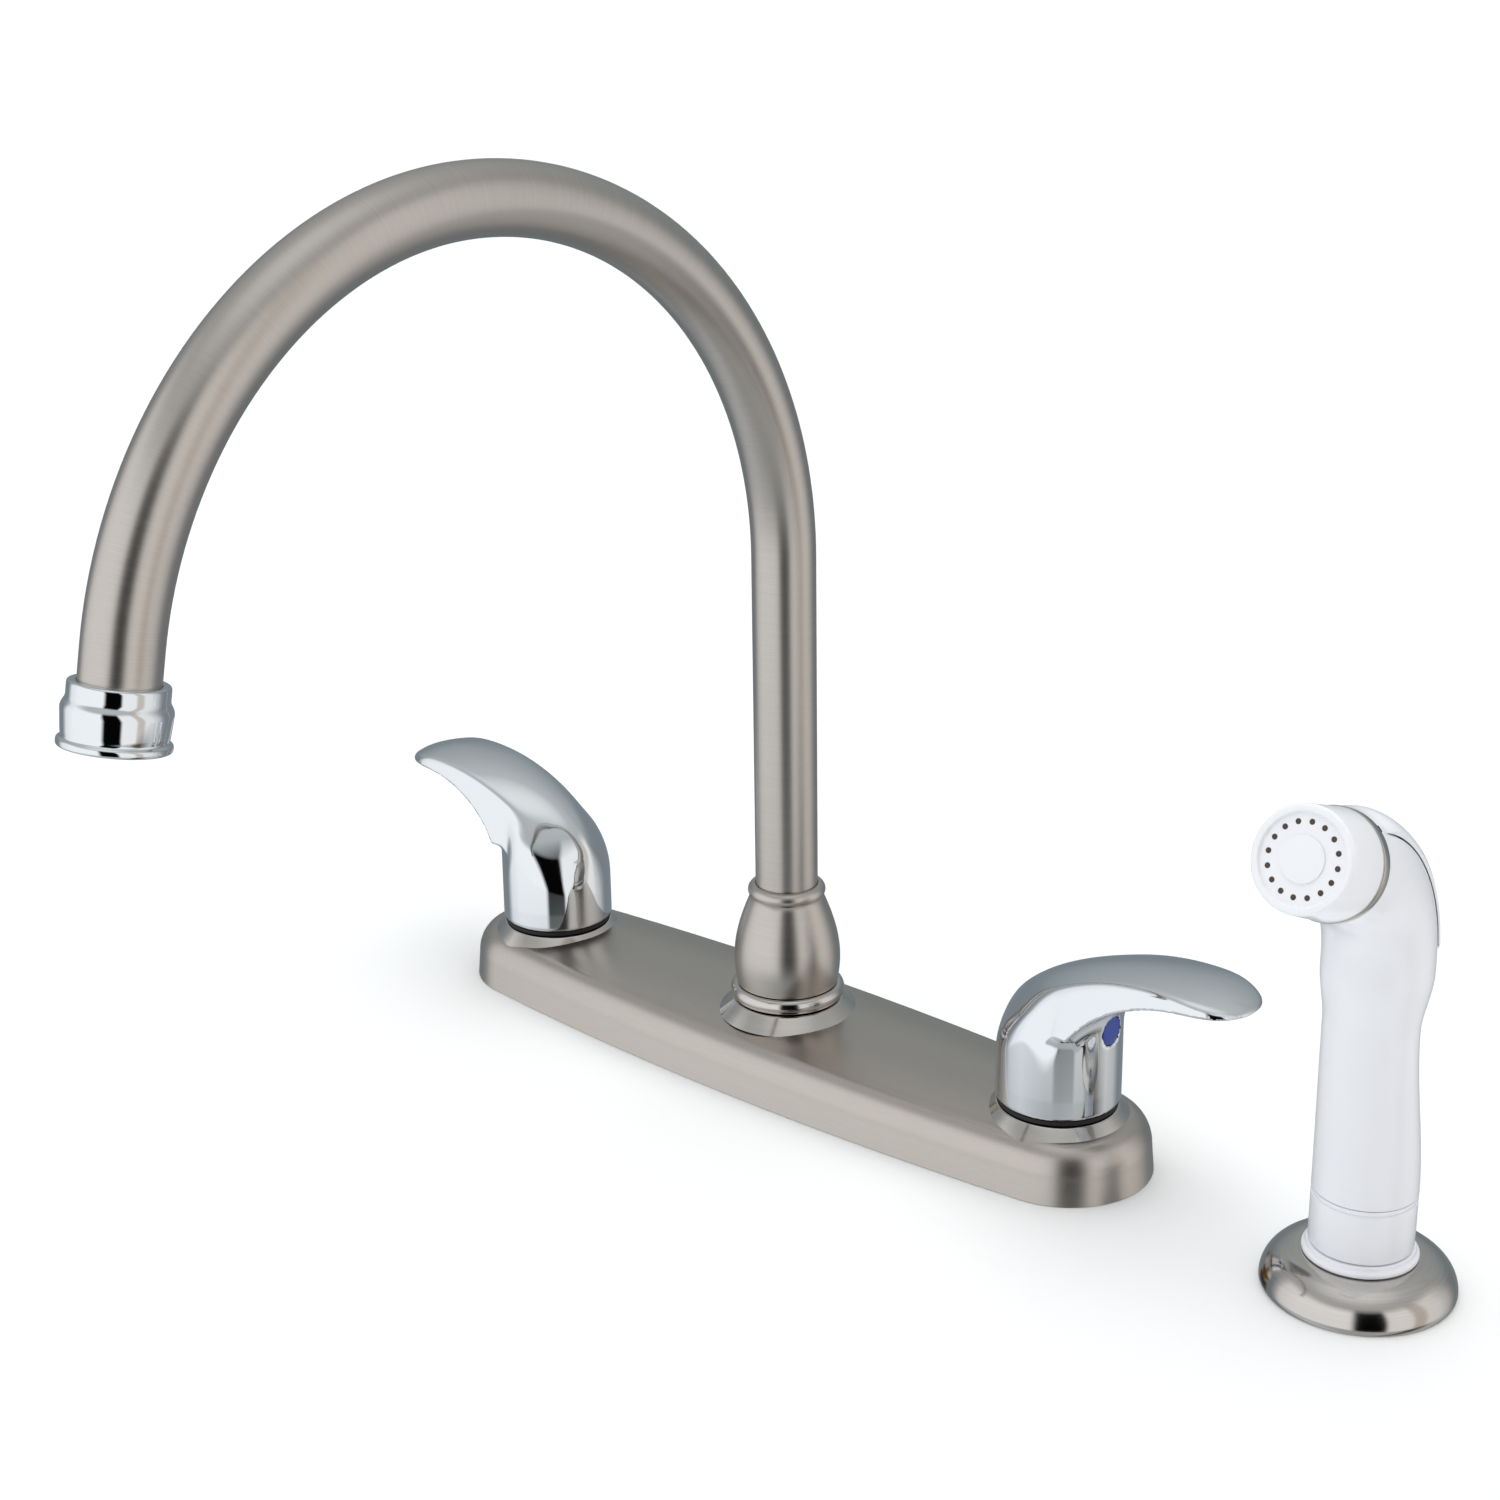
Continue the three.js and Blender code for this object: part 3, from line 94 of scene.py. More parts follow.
SOFTBOXES_ROUND = [  # degrees round the object from the camera, to the camera's right, and what stands there
    (-180, 0x8c8c8e), (-150, 0x8e8e90), (-132, 0x9a9a9c), (-108, 0xe6e7e9), (-84, 0xf6f7f9), (-20, 0xf8f9fa),
    (-13, 0x050505), (18, 0x050505), (23, 0xf2f1f0), (50, 0xf0efee), (55, 0xc8c0b8), (66, 0xc8c0b8), (72, 0xeae9e7),
    (88, 0xe4e3e2), (112, 0xb0b0b0), (140, 0x8c8c8e), (180, 0x8c8c8e)]
TABLE_ROUND = [  # the same for what low views see: the lit table round the object
    (-180, 0x66686b), (-150, 0x5c666d), (-126, 0x9ba3a8), (-100, 0xc0c4c8), (-78, 0xc9ccd0), (-53, 0xbabdc0),
    (-30, 0xacb0b1), (-5, 0xa6a9aa), (24, 0xb2b4b4), (38, 0xb0b0af), (48, 0x6a655f), (60, 0x4c4742), (72, 0x8c8a88),
    (87, 0xbfbfbf), (108, 0xb7b7b7), (135, 0xa2a2a3), (180, 0x6c6c6e)]
REAR_UP = [  # the rear wall and the ceiling, by the sine of their height
    (0.0, 0x7b8287), (0.15, 0x80888c), (0.38, 0x969d9f), (0.64, 0xa9acad), (0.86, 0xb9bbbc), (1.0, 0xe4e5e5)]
TABLE_EDGE = (-0.37, -0.47)  # sine of the height where walls give way to the table
REAR_EDGE, CEILING_EDGE = (-0.30, -0.55), (0.55, 0.75)  # where the rear wall and the ceiling take over
STUDIO_STRENGTH = 1.15
world = bpy.data.worlds.new("studio")
bpy.context.scene.world = world
world.use_nodes = True
tree = world.node_tree
tree.nodes.clear()
ray = add_node(tree, "ShaderNodeTexCoord").outputs["Generated"]
to_camera = (math.sin(yaw), -math.cos(yaw), 0)
ahead = add_node(tree, "ShaderNodeVectorMath", {0: ray, 1: to_camera}, operation="DOT_PRODUCT")
aside = add_node(tree, "ShaderNodeVectorMath", {0: ray, 1: tuple(level_right)}, operation="DOT_PRODUCT")
turn = add_node(tree, "ShaderNodeMath", {0: aside.outputs["Value"], 1: ahead.outputs["Value"]}, operation="ARCTAN2")
place = add_node(tree, "ShaderNodeMapRange", {"Value": turn.outputs[0], "From Min": -math.pi, "From Max": math.pi})
height = add_node(tree, "ShaderNodeSeparateXYZ", {0: ray}).outputs["Z"]


def ring_of(stops):
    """Colour by the direction round the object."""
    ring = add_node(tree, "ShaderNodeValToRGB", {"Fac": place.outputs["Result"]})
    set_ramp(ring, [(degrees / 360 + 0.5, colour) for degrees, colour in stops])
    return ring.outputs["Color"]


def mixed(share, a, b):
    """Blend of two colours."""
    return add_node(tree, "ShaderNodeMix", {"Factor": share, "A": a, "B": b}, data_type="RGBA").outputs["Result"]


def from_to(value, low, high):
    """0 at one value, 1 at another."""
    return add_node(tree, "ShaderNodeMapRange", {"Value": value, "From Min": low, "From Max": high}).outputs["Result"]


rear_up = add_node(tree, "ShaderNodeValToRGB", {"Fac": height})
set_ramp(rear_up, REAR_UP)
walls = mixed(from_to(height, *TABLE_EDGE), ring_of(SOFTBOXES_ROUND), ring_of(TABLE_ROUND))
behind = from_to(ahead.outputs["Value"], *REAR_EDGE)
overhead = from_to(height, *CEILING_EDGE)
share = add_node(tree, "ShaderNodeMath", {0: behind, 1: overhead}, operation="MAXIMUM").outputs[0]
studio = mixed(share, walls, rear_up.outputs["Color"])
lit = add_node(tree, "ShaderNodeBackground", {"Color": studio, "Strength": STUDIO_STRENGTH})
plain = add_node(tree, "ShaderNodeBackground", {"Color": (1, 1, 1, 1), "Strength": 1.0})
seen = add_node(tree, "ShaderNodeLightPath").outputs["Is Camera Ray"]
shown = add_node(tree, "ShaderNodeMixShader", {0: seen, 1: lit.outputs[0], 2: plain.outputs[0]})
add_node(tree, "ShaderNodeOutputWorld", {"Surface": shown.outputs[0]})

# A very broad overhead light keeps the worktop white out to its edge. Metal doesn't mirror it.
overhead_light = bpy.data.lights.new("overhead_scrim", "SUN")
SCRIM_STRENGTH, SCRIM_SPREAD, SCRIM_TILT = 1.8, 80, (-12, -10, 0)  # spread and tilt in degrees
overhead_light.energy, overhead_light.angle = SCRIM_STRENGTH, math.radians(SCRIM_SPREAD)
scrim = bpy.data.objects.new("overhead_scrim", overhead_light)
scrim.rotation_euler = tuple(map(math.radians, SCRIM_TILT))
scrim.visible_glossy = False
bpy.context.scene.collection.objects.link(scrim)


def new_material(name):
    """An empty material with its output, and its tree."""
    made = bpy.data.materials.new(name)
    made.use_nodes = True
    made.node_tree.nodes.clear()
    return made, made.node_tree


def finish_material(tree, shader):
    add_node(tree, "ShaderNodeOutputMaterial", {"Surface": shader.outputs[0]})


# Matt white laminate, a little uneven in tone: it shows soft shadows and no reflection.
worktop_laminate, tree = new_material("white_laminate_worktop")
mottle = add_node(tree, "ShaderNodeTexNoise", {"Scale": 1.5, "Detail": 2.0})
tint = add_node(tree, "ShaderNodeValToRGB", {"Fac": mottle.outputs["Fac"]})
set_ramp(tint, [(0.3, 0xf6f7f7), (0.7, 0xf9f9f9)])
finish_material(tree, add_node(tree, "ShaderNodeBsdfPrincipled", {
    "Base Color": tint.outputs["Color"], "Roughness": 0.6, "Specular IOR Level": 0.2}))
WORKTOP_R, WORKTOP_DROP = 14, 0.0002  # metres: out of sight at its rim, just clear of the pieces on it
bpy.ops.mesh.primitive_circle_add(vertices=64, radius=WORKTOP_R, fill_type="NGON", location=(0, 0, -WORKTOP_DROP))
worktop = bpy.context.object
worktop.name = "worktop"
worktop.data.materials.append(worktop_laminate)
worktop.visible_glossy = False


# ---------------------------------------------------------------- deck plate
# Zinc casting plated in satin nickel: a bowed, round-ended shell brushed along its length, with
# three turned seats, polished brighter, that carry the handles and the spout.
PITCH = 101.6
PLATE_HALF_WIDTH, PLATE_BOW, PLATE_END_X = 31.1, 1033.0, PITCH + 2.8
PLATE_SHOULDER, PLATE_CROWN, PLATE_DRAFT = 16.6, 1.6, 0.7
PLATE_ROUND, PLATE_ROUND_HEIGHT, PLATE_SHELF, PLATE_WALL = 6.7, 9.0, 24.0, 2.2


def brushed(name, metal, rough, lines, along, bump, spread):
    """Plated metal with fine parallel scratches, as many to the metre (or turn) as `lines` says."""
    made, tree = new_material(name)
    place = add_node(tree, "ShaderNodeTexCoord").outputs["UV" if along == "UV" else "Object"]
    stretch = add_node(tree, "ShaderNodeMapping", {"Vector": place, "Scale": lines})
    scratch = add_node(tree, "ShaderNodeTexNoise", {
        "Vector": stretch.outputs[0], "Scale": 1.0, "Detail": 3.0, "Roughness": 0.6})
    shade = add_node(tree, "ShaderNodeValToRGB", {"Fac": scratch.outputs["Fac"]})
    set_ramp(shade, [(0.3, metal[0]), (0.7, metal[1])])
    gloss = add_node(tree, "ShaderNodeMapRange", {
        "Value": scratch.outputs["Fac"], "From Min": 0.3, "From Max": 0.7,
        "To Min": rough - spread / 2, "To Max": rough + spread / 2})
    relief = add_node(tree, "ShaderNodeBump", {
        "Height": scratch.outputs["Fac"], "Strength": bump, "Distance": 0.0001})
    shader = add_node(tree, "ShaderNodeBsdfPrincipled", {
        "Base Color": shade.outputs["Color"], "Metallic": 1.0, "Roughness": gloss.outputs["Result"],
        "Normal": relief.outputs[0]})
    finish_material(tree, shader)
    return made


# Satin nickel brushed along the plate: long soft bands of light, warm grey, with no clear mirror image.
nickel_plate = brushed("satin_nickel_brushed_lengthwise", (0xc1bab3, 0xc7c0b9), 0.31, (90, 2600, 2600), "Object",
                       0.02, 0.04)
# The same plating brushed round tube and bell: blurred upright bands with hair-fine rings across them.
nickel_turned = brushed("satin_nickel_turned", (0xc0bab4, 0xcbc6c0), 0.31, (3, 2400, 1), "UV", 0.02, 0.05)
# Seats, foot ring and flange are buffed after plating, so they mirror the studio a little blurred.
nickel_bright = brushed("bright_nickel_turned", (0xc8c4bf, 0xd0ccc8), 0.13, (2, 900, 1), "UV", 0.012, 0.04)


def piece(name, shape, material, body, stands_for=(), sharp=30):
    """Mesh object from (points in mm, faces, uv per point), smooth but for its sharp edges."""
    points, faces, uvs = shape
    mesh = bpy.data.meshes.new(name)
    mesh.from_pydata((np.asarray(points) * MM).tolist(), [], [list(map(int, face)) for face in faces])
    mesh.polygons.foreach_set("use_smooth", [True] * len(mesh.polygons))
    mesh.set_sharp_from_angle(angle=math.radians(sharp))
    if uvs is not None:
        layer = mesh.uv_layers.new(name="around_and_along")
        corners = np.empty(len(mesh.loops), dtype=int)
        mesh.loops.foreach_get("vertex_index", corners)
        layer.data.foreach_set("uv", np.asarray(uvs, dtype=float)[corners].ravel())
    made = bpy.data.objects.new(name, mesh)
    made.data.materials.append(material)
    bpy.context.scene.collection.objects.link(made)
    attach(made, body)
    if stands_for:
        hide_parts(*stands_for)
    return made


def loft(rings, closed=False):
    """Skin through rings of equal counts, with a flat cap at both ends unless it closes on itself."""
    count, total = len(rings[0]), len(rings)
    points = [tuple(p) for ring in rings for p in ring]
    steps = [math.dist(np.mean(a, axis=0), np.mean(b, axis=0)) + math.dist(a[0], b[0])
             for a, b in zip(rings, rings[1:])]
    runs = np.concatenate(([0.0], np.cumsum(steps)))
    uvs = [(i / count, runs[k] * MM) for k in range(total) for i in range(count)]
    faces = []
    for k in range(total if closed else total - 1):
        for i in range(count):
            a, b = k * count + i, k * count + (i + 1) % count
            c, d = ((k + 1) % total) * count + (i + 1) % count, ((k + 1) % total) * count + i
            faces.append((a, b, c, d))
    if not closed:
        faces += [tuple(reversed(range(count))), tuple(range((total - 1) * count, total * count))]
    return points, faces, uvs


def rounded(profile, steps=4):
    """Profile of [radius, height, corner radius] points with its corners rounded by arcs."""
    out, count = [], len(profile)
    for i, (x, y, *r) in enumerate(profile):
        here = np.array((x, y), float)
        before, after = np.array(profile[i - 1][:2], float), np.array(profile[(i + 1) % count][:2], float)
        to_before, to_after = before - here, after - here
        if not r or not r[0]:
            out.append(here)
            continue
        reach = min(r[0], 0.49 * np.linalg.norm(to_before), 0.49 * np.linalg.norm(to_after))
        start = here + to_before / np.linalg.norm(to_before) * reach
        end = here + to_after / np.linalg.norm(to_after) * reach
        out += [(1 - t) ** 2 * start + 2 * t * (1 - t) * here + t * t * end for t in np.linspace(0, 1, steps + 1)]
    return out


def turned(profile, sides=96, wave=None):
    """Piece turned about Z. A profile off the axis closes on itself, one on it starts and ends there."""
    solid = min(p[0] for p in profile) <= 0
    ring_profile = [(r, z) for r, z in profile if r > 0]
    angles = np.arange(sides) * 2 * math.pi / sides
    rings = []
    for r, z in ring_profile:
        out = r + (wave(angles, z, r) if wave else 0)
        rings.append(np.stack((out * np.cos(angles), out * np.sin(angles), np.full(sides, z)), 1))
    return loft(rings, closed=not solid)


def placed(shape, matrix):
    points, faces, uvs = shape
    rows = np.array(matrix)
    moved = np.asarray(points) @ rows[:3, :3].T + rows[:3, 3]
    return moved, faces, uvs


def plate_ring(inset, z, ends=28, side=14):
    """Plan of the plate, drawn in by an inset, at a height."""
    bow_y = PLATE_HALF_WIDTH - PLATE_BOW
    to_end = math.atan2(PLATE_END_X, -bow_y)
    end_r = PLATE_BOW - math.hypot(PLATE_END_X, bow_y)
    ring = []
    for half in (1, -1):
        for a in np.linspace(-math.pi / 2 + to_end, math.pi / 2 - to_end, ends, endpoint=False):
            x, y = PLATE_END_X + (end_r - inset) * math.cos(a), (end_r - inset) * math.sin(a)
            ring.append((half * x, half * y, z))
        for a in np.linspace(to_end, -to_end, side, endpoint=False):
            x, y = (PLATE_BOW - inset) * math.sin(a), bow_y + (PLATE_BOW - inset) * math.cos(a)
            ring.append((half * x, half * y, z))
    return ring


def plate_rings(wall):
    """Rings from the plate's rim to its level top: drafted wall, edge round and crown."""
    rings = [plate_ring(wall, 0),
             plate_ring(wall + PLATE_DRAFT * 0.9, PLATE_SHOULDER - wall - PLATE_ROUND_HEIGHT - 0.5)]
    for a in np.linspace(0, math.pi / 2, 13):
        rings.append(plate_ring(wall + PLATE_DRAFT + PLATE_ROUND * (1 - math.cos(a)),
                                PLATE_SHOULDER - wall - PLATE_ROUND_HEIGHT * (1 - math.sin(a))))
    rim = wall + PLATE_DRAFT + PLATE_ROUND
    for t in np.linspace(0.15, 1, 7):
        rings.append(plate_ring(rim + (PLATE_SHELF - rim) * t,
                                PLATE_SHOULDER - wall + PLATE_CROWN * (1 - (1 - t) ** 2)))
    return rings


shell = loft(plate_rings(PLATE_WALL)[::-1] + plate_rings(0))
piece("deck_plate_shell", shell, nickel_plate, "faucet", ["deck_plate"], sharp=40)

PLATE_TOP = PLATE_SHOULDER + PLATE_CROWN
HANDLE_CONE, SPOUT_CONE = (17.6, 20.6, 3.0), (16.8, 20.8, 3.6)  # top and foot radius, height
HANDLE_SEAT, SPOUT_SEAT = PLATE_SHOULDER + HANDLE_CONE[2], PLATE_TOP + SPOUT_CONE[2]
SEAT_DROP = 4.4  # each cone runs on down into the plate
NECK_HOLE_R, HUB_HOLE_R = 12.3, 12.7


def seat(top_r, foot_r, rise, top, bore):
    """Turned cone that stands out of the plate, with a crisp rim."""
    flare = (foot_r - top_r) / rise * SEAT_DROP
    return turned(rounded([(bore, top - SEAT_DROP), (top_r + flare, top - SEAT_DROP), (top_r, top, 0.5),
                           (bore, top, 0.3)]))


for side, x in (("hot", -PITCH), ("cold", PITCH)):
    cone = placed(seat(*HANDLE_CONE, HANDLE_SEAT, NECK_HOLE_R), Matrix.Translation((x, 0, 0)))
    piece(f"handle_seat_{side}", cone, nickel_bright, "faucet", ["deck_plate"])
spout_cone = seat(*SPOUT_CONE, SPOUT_SEAT, HUB_HOLE_R)
piece("spout_seat", spout_cone, nickel_bright, "faucet", ["deck_plate"])


# ---------------------------------------------------------------- waterway, shanks and nuts under the plate
# Cast and machined brass with moulded nylon washers and wing nuts, hidden in and under the sink
# deck. Shanks and hose outlet are cut with their pipe threads; the other solids only get their finish.
def machined(name, colours, metallic, rough, grain):
    """Plain machined or moulded finish with a fine uneven grain."""
    made, tree = new_material(name)
    noise = add_node(tree, "ShaderNodeTexNoise", {"Scale": grain, "Detail": 3.0, "Vector": add_node(
        tree, "ShaderNodeTexCoord").outputs["Object"]})
    shade = add_node(tree, "ShaderNodeValToRGB", {"Fac": noise.outputs["Fac"]})
    set_ramp(shade, [(0.35, colours[0]), (0.65, colours[1])])
    gloss = add_node(tree, "ShaderNodeMapRange", {
        "Value": noise.outputs["Fac"], "To Min": rough - 0.06, "To Max": rough + 0.06})
    relief = add_node(tree, "ShaderNodeBump", {
        "Height": noise.outputs["Fac"], "Strength": 0.05, "Distance": 0.0002})
    shader = add_node(tree, "ShaderNodeBsdfPrincipled", {
        "Base Color": shade.outputs["Color"], "Metallic": metallic, "Roughness": gloss.outputs["Result"],
        "Normal": relief.outputs[0]})
    finish_material(tree, shader)
    return made


# Machined brass: warm yellow metal with short soft highlights.
brass = machined("machined_brass", (0xb08a48, 0xc9a462), 1.0, 0.32, 900)
# Moulded nylon: dull dark grey, with hardly a highlight.
nylon = machined("moulded_grey_nylon", (0x4a4d51, 0x595c60), 0.0, 0.5, 1500)
# Nitrile rubber: matt, nearly black, so gaskets show as dark lines.
rubber = machined("black_nitrile_rubber", (0x151516, 0x1f1f21), 0.0, 0.65, 1800)
# Plain steel: cool grey metal, slightly blurred.
steel = machined("plain_steel", (0x8f9296, 0xa4a7aa), 1.0, 0.3, 1200)
THREAD_DEPTH, THREAD_STEPS = 0.55, 6  # share of the pitch, and points to a pitch


def helix(radius, low, high, pitch):
    """Wave for a turned tube: a V thread between two heights of its outer wall."""
    def wave(angles, z, r):
        if r < radius - 0.01 or not low < z < high:
            return 0
        return -THREAD_DEPTH * pitch * np.abs(2 * ((z / pitch - angles / (2 * math.pi)) % 1) - 1)
    return wave


def tube_wall(radius, low, high, pitch):
    """Outer wall of a threaded tube, with enough points for its thread."""
    step = pitch / THREAD_STEPS
    return [(radius, z) for z in np.arange(low - step, high + 2 * step, step)]


def threaded_tube(bore, radius, foot, top, pitch):
    """Tube with a chamfered foot and a thread that stops short of its top."""
    low, high = foot + 0.6, top - 2.5
    profile = ([(bore, foot), (radius - 0.8, foot)] + tube_wall(radius, low, high, pitch)
               + [(radius, top), (bore, top)])
    return turned(profile, 60, helix(radius, low, high, pitch))


def hexagon(across_flats, bore, foot, top, chamfer=0.8):
    """Hexagonal nut face: flats meet a turned chamfer at both ends."""
    sides = 72
    angles = np.arange(sides) * 2 * math.pi / sides
    flats = across_flats / 2 / np.cos((angles % (math.pi / 3)) - math.pi / 6)
    rings = []
    for z, most in ((foot, across_flats / 2), (foot + chamfer, math.inf), (top - chamfer, math.inf),
                    (top, across_flats / 2)):
        out = np.minimum(flats, most)
        rings.append(np.stack((out * np.cos(angles), out * np.sin(angles), np.full(sides, z)), 1))
    for z in (top, foot):
        rings.append(np.stack((bore * np.cos(angles), bore * np.sin(angles), np.full(sides, z)), 1))
    return loft(rings, closed=True)


INSERT_TOP = 1.2
SHANK = (5.5, 10.2, -52.0, INSERT_TOP, 1.814)  # bore, radius, foot, top, pitch of 14 to the inch
OUTLET = (4.5, 6.7, -42.0, INSERT_TOP, 1.411)  # 18 to the inch
OUTLET_HEXAGON = (17.0, 6.6, -9.0, -3.0)  # across flats, bore, foot, top
for side, x in (("hot", -PITCH), ("cold", PITCH)):
    shank = placed(threaded_tube(*SHANK), Matrix.Translation((x, 0, 0)))
    piece(f"threaded_shank_{side}", shank, brass, "faucet", [f"inlet_shank_{side}"])
piece("hose_outlet_tube", threaded_tube(*OUTLET), brass, "faucet", ["spray_outlet"])
piece("hose_outlet_hexagon", hexagon(*OUTLET_HEXAGON), brass, "faucet", ["spray_outlet"])
by_slot = {"brass": brass, "grey_plastic": nylon, "black_rubber": rubber, "steel": steel}
for row in frame["record"]["subparts"]:
    if row["material_slot"] in by_slot:
        node = frame["nodes"][row["node"]]
        node.data.materials.clear()
        node.data.materials.append(by_slot[row["material_slot"]])


# ---------------------------------------------------------------- lever handles
# Die-cast zinc, polished and chromed: a turned body whose top runs out into a crowned lever with
# a crease along each side. A rubber gasket lies under it and a coloured button covers its screw.
GAP, GASKET_THICK = 0.3, 1.4  # GAP is the room between pieces that rest on or beside each other
GASKET_FOOT = HANDLE_SEAT + GAP
HANDLE_FOOT = GASKET_FOOT + GASKET_THICK + GAP
HANDLE_R, HANDLE_TOP_R, HANDLE_WALL, HANDLE_CAVITY = 18.0, 17.7, 2.3, 17.0
LEVER_HEEL, LEVER_CREST_AT, LEVER_CREST, LEVER_SPRING = 19.5, 42.0, 49.4, 14.4
LEVER_TIP, LEVER_DROOP, LEVER_HALF_WIDTH, LEVER_TAPER = 63.2, 8.0, 13.0, 46.2
CREASE_DROP, CREASE_SPRING, CREASE_DROOP = 1.7, -2.2, 0.9
FLANK_LEAN, HEEL_LEAN, HEEL_START, HEEL_RUN = 0.25, 0.75, 9, 15  # the flanks lean more over the heel
UNDER_START, UNDER_CREST_AT, UNDER_SPRING, UNDER_CREST, UNDER_FLOOR = 8.0, 50.0, 9.2, 44.0, 26.0
INDEX_HEIGHT, INDEX_R, INDEX_SEAT, INDEX_RIM, INDEX_FACE = 24.9, 4.2, 14.6, 17.4, 17.8
BOSS_R, STEM_BORE_R, STEM_BORE_TOP = 8.0, 4.2, 30.2
EDGE_R, MELT_R = 0.9, 1.9  # roundness of the lever's lower edges, and what it gains over the body
TIP_ROOM = 0.2  # the arcs end this far past the tip, so they never stand upright


def surface_net(field, low, high, step):
    """Quads on the surface where a field is zero, inside where it is negative."""
    axes = [np.arange(a, b + step, step) for a, b in zip(low, high)]
    grid = np.stack(np.meshgrid(*axes, indexing="ij"), -1)
    value = field(grid)
    cells = tuple(n - 1 for n in value.shape)
    total, count, edges = np.zeros(cells + (3,)), np.zeros(cells), []
    for a in range(3):
        b, c = (a + 1) % 3, (a + 2) % 3
        first = tuple(slice(0, -1) if i == a else slice(None) for i in range(3))
        second = tuple(slice(1, None) if i == a else slice(None) for i in range(3))
        here, there = value[first], value[second]
        crossed = (here < 0) != (there < 0)
        at = grid[first].copy()
        at[..., a] += step * np.where(crossed, here / np.where(crossed, here - there, 1), 0)
        for db in (0, 1):
            for dc in (0, 1):
                part = [slice(None)] * 3
                part[b], part[c] = slice(db, db + cells[b]), slice(dc, dc + cells[c])
                total += np.where(crossed[tuple(part)][..., None], at[tuple(part)], 0)
                count += crossed[tuple(part)]
        edges.append((b, c, crossed, here < 0))
    used = count > 0
    index = np.full(cells, -1)
    index[used] = np.arange(used.sum())
    points, quads = total[used] / count[used][:, None], []
    for b, c, crossed, starts_inside in edges:
        where = np.argwhere(crossed)
        where = where[(where[:, b] > 0) & (where[:, b] < cells[b])
                      & (where[:, c] > 0) & (where[:, c] < cells[c])]
        ring = []
        for db, dc in ((-1, -1), (0, -1), (0, 0), (-1, 0)):
            cell = where.copy()
            cell[:, b] += db
            cell[:, c] += dc
            ring.append(index[tuple(cell.T)])
        quad = np.stack(ring, 1)
        outward = starts_inside[tuple(where.T)]
        quads.append(np.where(outward[:, None], quad, quad[:, ::-1]))
    for _ in range(4):
        here, slope = field(points), slope_of(field, points)
        move = (here / np.maximum((slope ** 2).sum(-1), 1e-6))[:, None] * slope
        points -= move * np.minimum(1, 0.4 * step / np.maximum(np.linalg.norm(move, axis=-1), 1e-9))[:, None]
    return points, np.concatenate(quads), None


def slope_of(field, p, e=0.02):
    """Gradient of a field by differences over 2e."""
    parts = []
    for a in range(3):
        shift = np.zeros(3)
        shift[a] = e
        parts.append((field(p + shift) - field(p - shift)) / (2 * e))
    return np.stack(parts, -1)


def soft_max(a, b, r):
    """Greater of two distances, with an edge rounded by about r."""
    near = np.maximum(r - np.abs(a - b), 0) / r
    return np.maximum(a, b) + near * near * r / 4


def rise(s, start, crest_at, spring, crest):
    """Quarter ellipse from a spring line to a crest."""
    t = np.clip((crest_at - s) / (crest_at - start), 0, 1)
    return spring + (crest - spring) * np.sqrt(1 - t * t)


def droop(s):
    """How far the lever has sunk below its crest."""
    t = np.clip((s - LEVER_CREST_AT) / (LEVER_TIP + TIP_ROOM - LEVER_CREST_AT), 0, 0.999)
    return LEVER_DROOP * (1 - np.sqrt(1 - t * t))


def crown_field(p):
    """Height over the crowned top, then the overhang past the leaning flanks."""
    s, y, z = p[..., 0], np.abs(p[..., 1]), p[..., 2]
    top = rise(s, -LEVER_HEEL, LEVER_CREST_AT, LEVER_SPRING, LEVER_CREST) - droop(s)
    crease = (rise(s, -LEVER_HEEL, LEVER_CREST_AT, CREASE_SPRING, LEVER_CREST - CREASE_DROP)
              - droop(s) * CREASE_DROOP)
    t = np.clip((s - LEVER_TAPER) / (LEVER_TIP + TIP_ROOM - LEVER_TAPER), 0, 0.998)
    width = LEVER_HALF_WIDTH * np.sqrt(1 - t * t)
    heel = np.clip((HEEL_START - s) / HEEL_RUN, 0, 1)
    lean = FLANK_LEAN + HEEL_LEAN * heel * heel * (3 - 2 * heel)
    return z - crease - (top - crease) * (1 - (y / width) ** 2), y - width - lean * (crease - z)


def as_distance(field, p):
    """A field divided by its slope, which is a distance in mm near its surface."""
    here = field(p)
    return here / np.maximum(np.linalg.norm(slope_of(field, p, 0.05), axis=-1), 0.3)


def lever_field(p):
    """The whole handle, with s along the lever: negative inside the metal."""
    s, y, z = p[..., 0], p[..., 1], p[..., 2]
    radius = np.hypot(s, y)
    top = as_distance(lambda q: crown_field(q)[0], p)
    flank = as_distance(lambda q: crown_field(q)[1], p)
    cap = soft_max(soft_max(top, flank, 1.6), s - LEVER_TIP, 1.0)
    body = radius - (HANDLE_R - (HANDLE_R - HANDLE_TOP_R) * np.clip((z - 6) / 48, 0, 1))

    def under(q):
        vault = rise(q[..., 0], UNDER_START, UNDER_CREST_AT, UNDER_SPRING, UNDER_CREST)
        return np.maximum(vault, UNDER_FLOOR) - q[..., 2]
    over = np.maximum(as_distance(under, p), UNDER_START - s)
    by_body = np.clip((over - body) / 8 + 0.5, 0, 1)
    melt = EDGE_R + MELT_R * by_body * by_body * (3 - 2 * by_body)
    outside = soft_max(cap, -soft_max(-body, -over, 3.0), melt)
    outside = soft_max(outside, -z, 0.8)
    hollow = np.maximum(np.maximum(radius - (HANDLE_R - HANDLE_WALL), z - HANDLE_CAVITY), BOSS_R - radius)
    index_hole = np.maximum(np.hypot(y, z - INDEX_HEIGHT) - INDEX_R - 0.1, INDEX_SEAT - s)
    stem_bore = np.maximum(radius - STEM_BORE_R, z - STEM_BORE_TOP)
    return soft_max(outside, -np.minimum(np.minimum(hollow, index_hole), stem_bore), 0.3)


